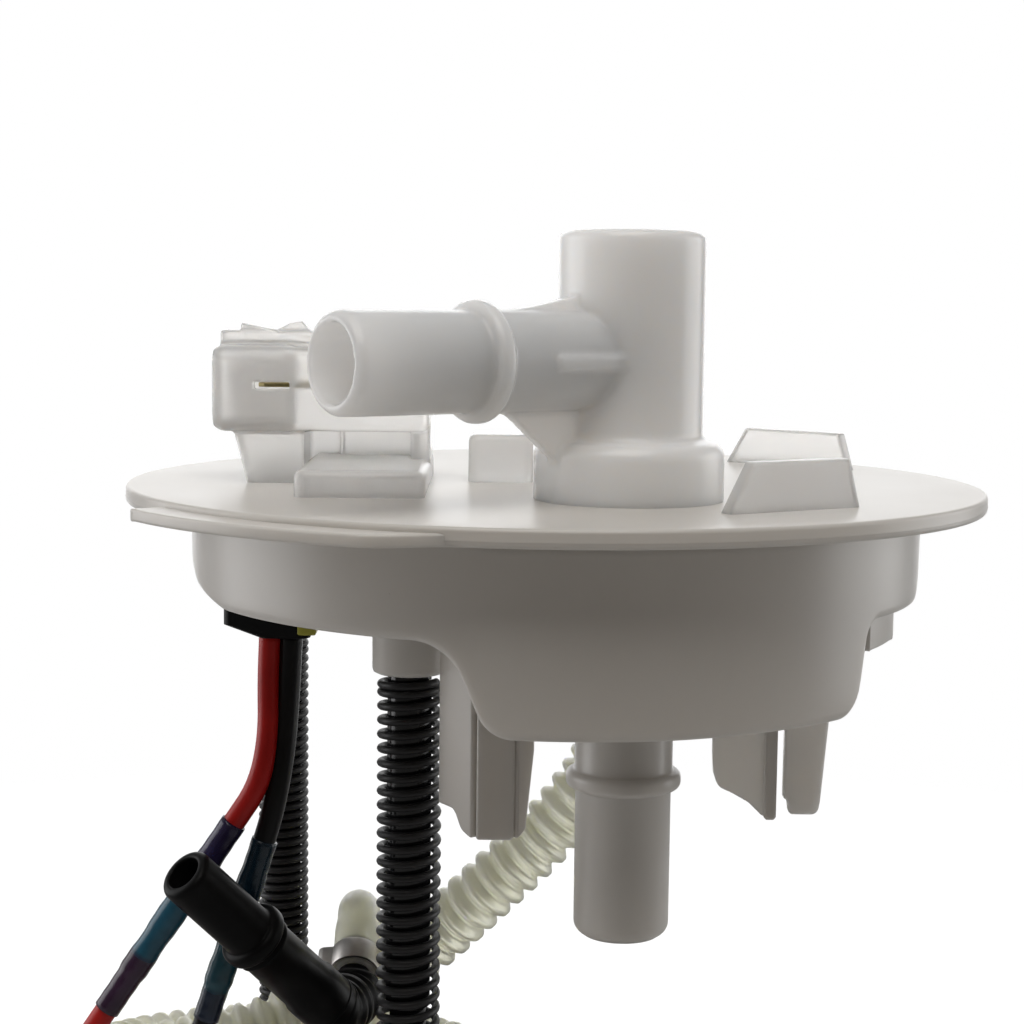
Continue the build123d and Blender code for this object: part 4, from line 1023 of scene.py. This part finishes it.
# A trapezoid blade standing on the plate, drawn in its own upright plane
def makeTopRib(index, x0, y0, x1, y1, high, left, right):
    across = np.array([x1 - x0, y1 - y0, 0.0])
    length = np.linalg.norm(across)
    across /= length
    outline = roundedLine([(0, -1), (length, -1), (length - right, high), (left, high)], 0.7, 4, closed=True)
    mould(slab(f"topRib{index}", outline, -1.4, 1.4, 0.6, (x0, y0, 0), across, (0, 0, 1)), litSocketAcetal)


makePlate()
makeLedge()
makeSkirt()
for rodName, rodSpot in rodSpots.items():
    makeBoss(rodName, rodSpot)
for number, ribRow in enumerate(topRibs):
    makeTopRib(number, *ribRow)

legs = {"faceY": -27.4, "thick": 2.2, "left": -58.0, "right": -52.6, "lip": 0.45}


# Two angle-section legs beside the bottom spigot, each of upright moulded plates with
# rounded feet. A plate starts at (x, faceY + shift) and is turned about the vertical
def makeLegs():
    t, zl, zr = legs["thick"], legs["left"], legs["right"]
    rows = [
        # name, x, shift, turn, material, arc steps, outline, corner radii
        ("leftLegFace", -13.2, 0, 0, shadedAcetal, 4,
         [(0, -2), (6.4, -2), (6.4, zl + 0.6), (5.8, zl), (0, zl)], [0, 0, 0.6, 0.8, 0.5]),
        ("leftLegEdge", -7.1, 0, 34, shadedAcetal, 4,
         [(0, -2), (3.7, -2), (3.7, zl + 15), (2.1, zl + 1.6), (0.6, zl + 0.3), (0, zl + 0.3)],
         [0, 0, 3, 1.2, 0.4, 0.3]),
        ("leftLegSide", -13.2, 0, 128, shadedAcetal, 5,
         [(0, -2), (9.4, -2), (9.4, zl + 4.4), (5.4, zl + 4.2), (4.5, zl + 3.4), (3.0, zl + 1.0), (0, zl)],
         [0, 0, 0.5, 1.2, 1.0, 2.5, 0.5]),
        ("rightLegSide", 27.0, 5.5, -29, thinLitAcetal, 5,
         [(0, -2), (10.6, -2), (10.6, zr - 1.2), (9.2, zr - 1.0), (6.8, zr + 0.9), (3.9, zr + 2.1),
          (1.2, zr + 2.9), (0.2, zr + 5.5), (0, zr + 9)], [0, 0, 0.4, 0.8, 2.5, 3, 2, 2, 3]),
        ("rightLegStrip", 34.9, 0, 0, shadedAcetal, 4,
         [(0, -2), (2.1, -2), (2.1, zr - 1.0), (1.7, zr - 1.5), (0.4, zr - 1.5), (0, zr - 1.0)],
         [0, 0, 0.4, 0.4, 0.4, 0.4]),
        ("rightLegTongue", 38.1, 0, 0, thinLitAcetal, 4,
         [(0, -2), (7.4, -2), (7.3, -37.5), (6.2, zr + 1.7), (5.8, zr - 0.5), (1.0, zr - 0.5),
          (0.7, zr + 1.8), (0, zr + 2.4)], [0, 0, 4, 2, 1.3, 0.8, 0.6, 0.5]),
        ("rightLegBridge", 34.0, 0, 0, shadedAcetal, 3, [(0, -2), (6.0, -2), (6.0, -33.2), (0, -33.2)], 0.4),
    ]
    for name, x, shift, turn, material, steps, points, radii in rows:
        a = math.radians(turn)
        outline = roundedLine(points, radii, steps, True)
        start = (x, legs["faceY"] + shift + t / 2, 0)
        across = (math.cos(a), math.sin(a), 0)
        mould(slab(name, outline, -t / 2, t / 2, legs["lip"], start, across, (0, 0, 1)), material)


tongue = {"radius": 60.4, "thick": 2.2, "from": -33, "to": -19, "bottom": -24.4}


# The curved tongue inside the skirt at the right, a sector of a tube with rounded lower corners
def makeTongue():
    r1, r0 = tongue["radius"], tongue["radius"] - tongue["thick"]
    a = np.radians(np.linspace(tongue["from"], tongue["to"], 28))
    outline = np.vstack([np.stack([r1 * np.cos(a), r1 * np.sin(a)], -1),
                         np.stack([r0 * np.cos(a[::-1]), r0 * np.sin(a[::-1])], -1)])
    mould(slab("skirtTongue", outline, tongue["bottom"], -2.0, 0.6))


ventAxis = (11.1, -29.9)      # the column, the chamber and the bottom spigot share one axis
chamber = {"radius": 14.4, "bore": 12.0, "bottom": -30.0}


# The valve chamber under the plate, a turned tube wall
def makeChamber():
    r, z, bore = chamber["radius"], chamber["bottom"], chamber["bore"]
    profile = [(bore, -2.0), (r, -2.0), (r, z + 0.1), (r - 0.2, z), (bore, z), (bore, -2.0)]
    mould(sharpen(turned("valveChamber", profile, (*ventAxis, 0), sides=96), 50))


# Radius against height of a spigot with a bead and a rounded tip, then back down its bore
def spigotProfile(length, beadAt, r, beadR, bore, tipRound, depth):
    root = r + 0.2
    b0, b1 = beadAt - 1.5, beadAt + 1.5
    q = 1.1 if beadR - r > 1.3 else 0.9
    rows = [(root, 0), (root, b0 - 0.4), (root + 0.15, b0 - 0.1), (beadR - q, b0)]
    outward, inward = np.linspace(0.2, math.pi / 2, 6), np.linspace(0, math.pi / 2 - 0.2, 6)
    rows += [(beadR - q + q * math.sin(a), b0 + q - q * math.cos(a)) for a in outward]
    rows += [(beadR - q + q * math.cos(a), b1 - q + q * math.sin(a)) for a in inward]
    rows += [(beadR - q, b1), (r + 0.15, b1 + 0.1), (r, b1 + 0.4)]
    rows += [(r - tipRound + tipRound * math.cos(a), length - tipRound + tipRound * math.sin(a))
             for a in np.linspace(0, math.pi / 2, 8)]
    rows += [(bore + 0.3, length), (bore + 0.06, length - 0.1), (bore, length - 0.4), (bore, length - depth)]
    return rows


lowSpigot = {"radius": 7.9, "bead": 9.5, "beadZ": -46.3, "bore": 6.1, "tipRound": 2.2}


# The cover of the valve chamber with its downward spigot, drawn from the cover towards the tip
def makeBottomSpigot():
    z, r, bore = chamber["bottom"], chamber["radius"], lowSpigot["bore"]
    length = z - boxOf("bottom_spigot")[0][2]
    rows = spigotProfile(length, z - lowSpigot["beadZ"], lowSpigot["radius"], lowSpigot["bead"], bore,
                         lowSpigot["tipRound"], length - 1)
    cover = [(r, -3.0), (r, -0.3), (r - 0.3, 0.0), (9.4, 0.0), (8.5, 0.5), (8.1, 1.3)]
    profile = cover + rows[1:] + [(bore, -3.0), (r, -3.0)]
    mould(turned("bottomSpigot", profile, (*ventAxis, z), (0, 0, -1), sides=128), node="bottom_spigot")


feedPort = {
    "x": 14.0, "y": 12.0, "top": 32.0, "beadAt": 13.0, "radius": 4.75, "bead": 5.95, "bore": 3.2,
    "barb": 3.9, "bottom": -33.0,
}


# The fuel outlet on one axis: spigot above the plate, shoulder and three barbs below it
def makeFeedPort():
    bore, barb, bottom = feedPort["bore"], feedPort["barb"], feedPort["bottom"]
    rows = spigotProfile(feedPort["top"], feedPort["beadAt"], feedPort["radius"], feedPort["bead"], bore,
                         1.3, 60.0)
    barbs = []
    for z in (-32.0, -28.0, -24.0):
        barbs += [(barb, z), (barb + 0.8, z + 2.2), (barb + 0.7, z + 2.5), (barb, z + 2.6)]
    shoulder = [(barb, -20.5), (4.2, -19.4), (6.7, -19.0), (7.0, -18.7), (7.0, -2.9), (8.0, -2.0),
                (8.0, 4.4), (7.4, 5.0), (5.3, 5.0)]
    profile = [(bore, bottom), (3.8, bottom)] + barbs + shoulder + rows[1:-1]
    profile += [(bore, 20.0), (bore, bottom)]
    mould(sharpen(turned("feedPort", profile, (feedPort["x"], feedPort["y"], 0), sides=72), 60))


makeLegs()
makeTongue()
makeChamber()
makeBottomSpigot()
makeFeedPort()
print("flange ready")


# Vent valve housing: one moulded skin

vent = {
    "columnRadius": 11.9, "columnTop": 43.3, "columnEdge": 1.6, "collarRadius": 15.5, "collarTop": 9.7,
    "collarEdge": 2.6, "turn": 216.1, "reach": 56.9, "spigotZ": 22.6, "spigotRadius": 7.9, "bore": 6.1,
    "beadRadius": 9.5, "beadAt": 30.9, "webHalf": 1.1, "sideReach": 8.8, "sideEnd": 21.0, "cell": 0.42,
}


# Column and collar, spigot with bead, upper and lower
# web and side rib, fused with small fillets; bore carved
def ventField(x, y, z):
    v = vent
    dx, dy = x - ventAxis[0], y - ventAxis[1]
    rho = np.hypot(dx, dy)
    top, foot = v["columnTop"], v["collarTop"]
    column = roundCylinder(rho, z - (top - 2) / 2, v["columnRadius"], (top + 2) / 2, v["columnEdge"])
    collar = roundCylinder(rho, z - (foot - 4) / 2, v["collarRadius"], (foot + 4) / 2, v["collarEdge"])
    a = math.radians(v["turn"])
    t = dx * math.cos(a) + dy * math.sin(a)
    s = dx * -math.sin(a) + dy * math.cos(a)
    h = z - v["spigotZ"]
    q = np.hypot(s, h)
    tip = roundCylinder(q, t - (v["reach"] + 10) / 2, v["spigotRadius"], (v["reach"] - 10) / 2, 2.2)
    root = roundCylinder(q, t - 15.0, v["spigotRadius"] + 0.2, 16.0, 0.3)
    bead = roundCylinder(q, t - v["beadAt"], v["beadRadius"], 1.5, 1.2)
    spigot = fuse(np.minimum(tip, root), bead, 1.0)
    n = math.hypot(13.6, 2.9)
    over = ((t - 24.5) * 2.9 + (h - 7.5) * 13.6) / n
    high = np.maximum(np.maximum(np.abs(s) - v["webHalf"], over), np.maximum(-t, -h))
    n = math.hypot(10.0, 8.4)
    under = ((t - 25.5) * 8.4 - (h + 7.5) * 10.0) / n
    low = np.maximum(np.maximum(np.abs(s) - v["webHalf"], under), np.maximum(-t, h))
    side = roundBox(t - v["sideEnd"] / 2, s, h, (v["sideEnd"] / 2, v["sideReach"], v["webHalf"]), 0.6)
    body = fuse(column, collar, 1.8)
    body = fuse(body, spigot, 0.8)
    body = fuse(body, np.minimum(np.minimum(high, low), side), 0.9)
    bore = np.maximum(q - v["bore"], 3.0 - t)
    body = carve(body, bore, 0.9)
    return np.maximum(body, -1.2 - z)


def makeVentHousing():
    low, high = boxOf("vent_housing")
    piece = castSkin("ventHousing", ventField, (low[0] - 1.5, low[1] - 1.5, -1.8), high + 1.5, vent["cell"])
    mould(piece, litHousingAcetal, "vent_housing")


makeVentHousing()
print("vent housing ready")


# Electrical connector on the plate and the harness plug under it

socket = {
    "x0": -60.0, "x1": -45.4, "neck": -22.0, "y0": -13.0, "y1": 9.0, "z0": 9.0, "z1": 23.8, "wall": 1.3,
    "round": 3.0, "midY": -2.0, "cell": 0.36,
}
terminal = {
    "width": 2.8, "thick": 0.8, "z": 17.0, "tip": -51.6, "root": -40.0, "rows": (-8.5, -4.0, 0.5, 5.0),
    "slotHalf": 0.6,
}

# Distance to a rounded box between corners
def boxField(x, y, z, x0, x1, y0, y1, z0, z1, edge):
    return roundBox(x - (x0 + x1) / 2, y - (y0 + y1) / 2, z - (z0 + z1) / 2,
                    ((x1 - x0) / 2, (y1 - y0) / 2, (z1 - z0) / 2), edge)


# Socket shroud, neck, pillars and keys: rounded boxes fused, with the mouth and the
# blade's slot carved. A key's slopes are planes over the length of their normals
def socketField(x, y, z):
    c = socket
    m = c["midY"]
    body = boxField(x, y, z, c["x0"], c["x1"] + 1.5, c["y0"], c["y1"], c["z0"], c["z1"], c["round"])
    neck = boxField(x, y, z, c["x1"] - 2.5, c["neck"], c["y0"] + 0.5, c["y1"] - 0.5, c["z0"] + 0.2,
                    c["z1"] - 0.3, 1.6)
    body = fuse(body, neck, 0.6)
    splay = ((-55.9 - x) * 2.2 + (z - 9.0) * -0.55) / 2.27
    posts = [
        (-58.0, -43.8, m - 7, m + 7, -0.5, 12.0, 0.5), (-44.5, -38.0, m + 6, m + 9, 3.0, 12.0, 0.5),
        (-38.3, -24.5, m + 3, m + 8, 3.0, 12.0, 0.5), (-25.4, c["neck"], m - 6, m + 7, 3.0, 12.0, 0.6),
    ]
    for number, row in enumerate(posts):
        post = boxField(x, y, z, *row)
        body = fuse(body, np.maximum(post, splay) if number == 0 else post, 0.8)
    deck = boxField(x, y, z, -58.6, -40.0, m - 4, m + 4, 21.0, 26.2, 0.6)
    leftKey = np.maximum(boxField(x, y, z, -55.0, -48.9, m - 4, m - 0.5, 24.0, 29.0, 0.3),
                         ((x + 54.9) * 1.2 + (z - 27.5) * 5.8) / 5.92)
    slopes = np.maximum(((x + 47.1) * -1.1 + (z - 27.4) * 2.0) / 2.28,
                        ((x + 47.1) * -0.4 + (z - 27.4) * 2.3) / 2.33)
    rightKey = np.maximum(boxField(x, y, z, -49.1, -42.4, m + 0.5, m + 4, 24.0, 29.0, 0.3), slopes)
    rightKey = np.maximum(rightKey, ((x + 44.8) * 1.0 + (z - 27.8) * 0.8) / 1.28)
    body = fuse(body, fuse(deck, fuse(leftKey, rightKey, 0.4), 0.6), 0.8)
    w = c["wall"]
    mouth = boxField(x, y, z, c["x0"] - 6, c["x1"], c["y0"] + w, c["y1"] - w, c["z0"] + w, c["z1"] - w, 1.6)
    low, high = terminal["z"] - terminal["slotHalf"], terminal["z"] + terminal["slotHalf"]
    slot = boxField(x, y, z, -51.9, -45.9, c["y0"] - 2, c["y0"] + w + 0.5, low, high, 0.3)
    return carve(carve(body, mouth, 0.6), slot, 0.2)


def makeSocket():
    low, high = boxOf("connector_body")
    piece = castSkin("socketShroud", socketField, (low[0] - 1.2, low[1] - 1.2, -1.2),
                     (high[0] + 1.2, high[1] + 1.2, 29.0), socket["cell"])
    mould(piece, litSocketAcetal, "connector_body")


# x0, x1, y0, y1, corner radius and top of each raised block on the plate
blocks = {
    "socketStand": (-43.2, -22.0, -34.0, 13.0, 2.0, 4.3), "plateBlock": (-15.4, -4.0, -4.0, 6.0, 1.8, 8.4),
}


# The raised platform under the connector and the step beside it
def makeBlocks():
    for name, (x0, x1, y0, y1, corner, top) in blocks.items():
        mould(slab(name, roundedBox(x0, x1, y0, y1, corner), -1.0, top, 1.2), litSocketAcetal)

# Four flat blades with tapered tips
def makeTerminals():
    for number, y in enumerate(terminal["rows"]):
        w, x, root = terminal["width"] / 2, terminal["tip"], terminal["root"]
        outline = roundedLine([(x, y - w + 0.7), (x + 1.1, y - w), (root, y - w), (root, y + w),
                               (x + 1.1, y + w), (x, y + w - 0.7)], 0.25, 3, True)
        low, high = terminal["z"] - terminal["thick"] / 2, terminal["z"] + terminal["thick"] / 2
        blade = slab(f"terminalBlade{number}", outline, low, high, 0.22)
        dress(blade, "flange", "brass", brassBlade, "connector_terminals")


plug = {
    "x": -49.5, "y": -6.0, "long": 15.5, "wide": 17.0, "top": -5.8, "bottom": -26.6, "shellGap": 1.8,
    "shellWall": 1.5,
}


# A form through flat outlines at given heights
def stacked(name, rows):
    rings = [np.column_stack([outline, np.full(len(outline), z)]) for outline, z in rows]
    return sharpen(lofted(name, rings))


# The harness plug: a rounded block with a stepped waist, its lock slide and the shell it sits in
def makePlug():
    x0, x1 = plug["x"] - plug["long"] / 2, plug["x"] + plug["long"] / 2
    y0, y1 = plug["y"] - plug["wide"] / 2, plug["y"] + plug["wide"] / 2
    outer = roundedBox(x0, x1, y0, y1, 2.0)
    waist = roundedBox(x0 + 0.7, x1 - 0.7, y0 + 0.7, y1 - 0.7, 1.6)
    foot = roundedBox(x0 + 6.0, x1 - 0.6, y0 + 0.8, y1 - 0.8, 1.4)
    inner = roundedBox(x0 + 6.4, x1 - 1.0, y0 + 1.2, y1 - 1.2, 1.0)
    bottom = plug["bottom"]
    piece = stacked("harnessPlug", [(waist, plug["top"]), (waist, -15.8), (outer, -15.9), (outer, -16.4),
                                    (outer, bottom + 2.4), (foot, bottom + 0.15), (inner, bottom)])
    dress(piece, "flange", "pa_black", blackNylon, "harness_plug")
    low, high = boxOf("plug_lock")
    outline = roundedBox(low[0] - 2.6, high[0] - 2.8, -25.75, high[2], 0.4)
    lock = slab("plugLock", outline, -high[1], 14.9, 0.3, (0, 0, 0), (1, 0, 0), (0, 0, 1))
    dress(lock, "flange", "lock_yellow", lockYellow, "plug_lock")
    gap, wall = plug["shellGap"], plug["shellWall"]
    x0, x1, y0, y1 = x0 - gap, x1 + gap, y0 - gap, y1 + gap
    wallOut = roundedBox(x0, x1, y0, y1, 2.2)
    wallIn = roundedBox(x0 + wall, x1 - wall, y0 + wall, y1 - wall, 1.2)
    mould(stacked("plugShell", [(wallOut, -2.0), (wallOut, -15.3), (wallIn, -15.6), (wallIn, -5.6)]))


makeSocket()
makeBlocks()
makeTerminals()
makePlug()
print("connectors ready")


# Loose line fitting with its hose clamp

fitting = {
    "tip": (-62.4, -26.0, -64.4), "far": (-38.3, -6.0, -95.4), "barbRoot": (-35.8, 0.6, -95.4),
    "hoseEnd": (-35.8, 5.65, -92.6), "radius": 4.75, "bead": 6.1, "bore": 3.0, "knee": 5.4, "barb": 3.1,
}


# The black elbow: a turned spigot with its bead, a ribbed knee and a barb towards the hose
def makeFitting():
    tip, far, root = (np.array(fitting[k]) for k in ("tip", "far", "barbRoot"))
    out = tip - far
    length = float(np.linalg.norm(out))
    r, wide, narrow = fitting["radius"], fitting["knee"], fitting["barb"]
    rows = spigotProfile(length, length - 19.5, r, fitting["bead"], fitting["bore"], 1.2, 26.0)
    ring = [(r + 0.2, length - 22.6), (r + 0.55, length - 22.4), (r + 0.55, length - 21.9),
            (r + 0.2, length - 21.7)]
    foot = [(0, 0), (wide - 0.2, 0), (wide, 0.4), (wide, 8.0), (r + 0.25, 9.0)]
    body = turned("lineFittingSpigot", foot + ring + rows[2:] + [(0, length - 26.0)], far, out, sides=96)
    rise = np.array(fitting["hoseEnd"]) - root
    along = rise / np.linalg.norm(rise)
    line, s = evenly(roundedLine([far + out / length * 3, far, root, root + along * 2.6], 4.6, 10), 0.35)
    ribs = 0.35 * (np.cos(2 * math.pi * s / 2.3) > 0.1)
    knee = tubeAlong("lineFittingKnee", line, wide - 0.25 + ribs, 48)
    ends = [(0, 0), (narrow, 0)]
    for z in (4.0, 7.0, 10.0):
        ends += [(narrow + 0.35, z), (narrow, z + 0.2), (narrow - 0.2, z + 2.4)]
    barb = turned("lineFittingBarb", ends + [(0, 12.0)], root, rise, sides=40)
    for piece in (body, knee, barb):
        dress(piece, "reservoir", "pa_black", blackNylon, "line_fitting")
    return [body, knee, barb, makeClamp(root, along)]


clamp = {"radius": 4.22, "thick": 0.32, "halfWidth": 2.4, "gap": 0.42, "pastKnee": 0.7}


# Steel ear clamp: a flat band round the hose end and its pinched ear
def makeClamp(root, along):
    r, thick, half = clamp["radius"], clamp["thick"], clamp["halfWidth"]
    z = fitting["knee"] + clamp["pastKnee"] + half
    u, v, w = frameAlong(along)
    a = np.linspace(clamp["gap"], 2 * math.pi - clamp["gap"], 80)
    band = [(r * math.cos(q), r * math.sin(q)) for q in a]
    ear = [(r, -1.55), (r + 1.7, -1.35), (r + 2.3, -1.0), (r + 2.3, 1.0), (r + 1.7, 1.35), (r, 1.55)]
    loop = np.vstack([band, roundedLine([band[-1], *ear, band[0]], 0.5, 3)[1:-1]])
    normal = outlineNormals(loop)
    rows = []
    for off, height in ((thick, 0.1 - half), (thick + 0.06, 0.3 - half), (thick + 0.06, half - 0.3),
                        (thick, half - 0.1), (0, half), (0, -half)):
        xy = loop + normal * off
        rows.append(xy[:, 0, None] * u + xy[:, 1, None] * v + (z + height) * w + root)
    faces = gridFaces(len(rows), len(loop), closeRows=True, closeCols=True)
    piece = sharpen(faceOut(putMesh("hoseClamp", np.concatenate(rows), faces)))
    return dress(piece, "reservoir", "steel", steelBare, "hose_clamp")


makeFitting()
print("line fitting ready")


# Solids of the part whose shape is right keep it and get their finish here

nodeFinish = {
    "valve_cage": shadedAcetal, "valve_float": shadedAcetal, "valve_spring": steelBare,
    "rod_clip_front": steelBare, "rod_clip_rear": steelBare, "reservoir_pot": potAcetal,
    "reservoir_lid": potAcetal, "pump_shell": steelBare, "pump_cap": blackNylon, "pump_inlet": blackNylon,
    "pump_brushes": carbonGrey, "pump_magnets": carbonGrey, "pump_rotor": steelBare,
    "pump_impeller": blackNylon, "pump_isolator": blackRubber, "strainer": shadedAcetal,
    "outlet_elbow": blackNylon, "pump_plug": blackNylon, "umbrella_valve": blackRubber,
    "sender_body": potAcetal, "sender_card": cardGreen, "arm_hub": blackNylon, "float_arm": steelBare,
    "level_float": floatFoam,
}
for nodeName, finish in nodeFinish.items():
    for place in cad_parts[nodeName].material_slots:
        place.material = finish
print("solids finished")
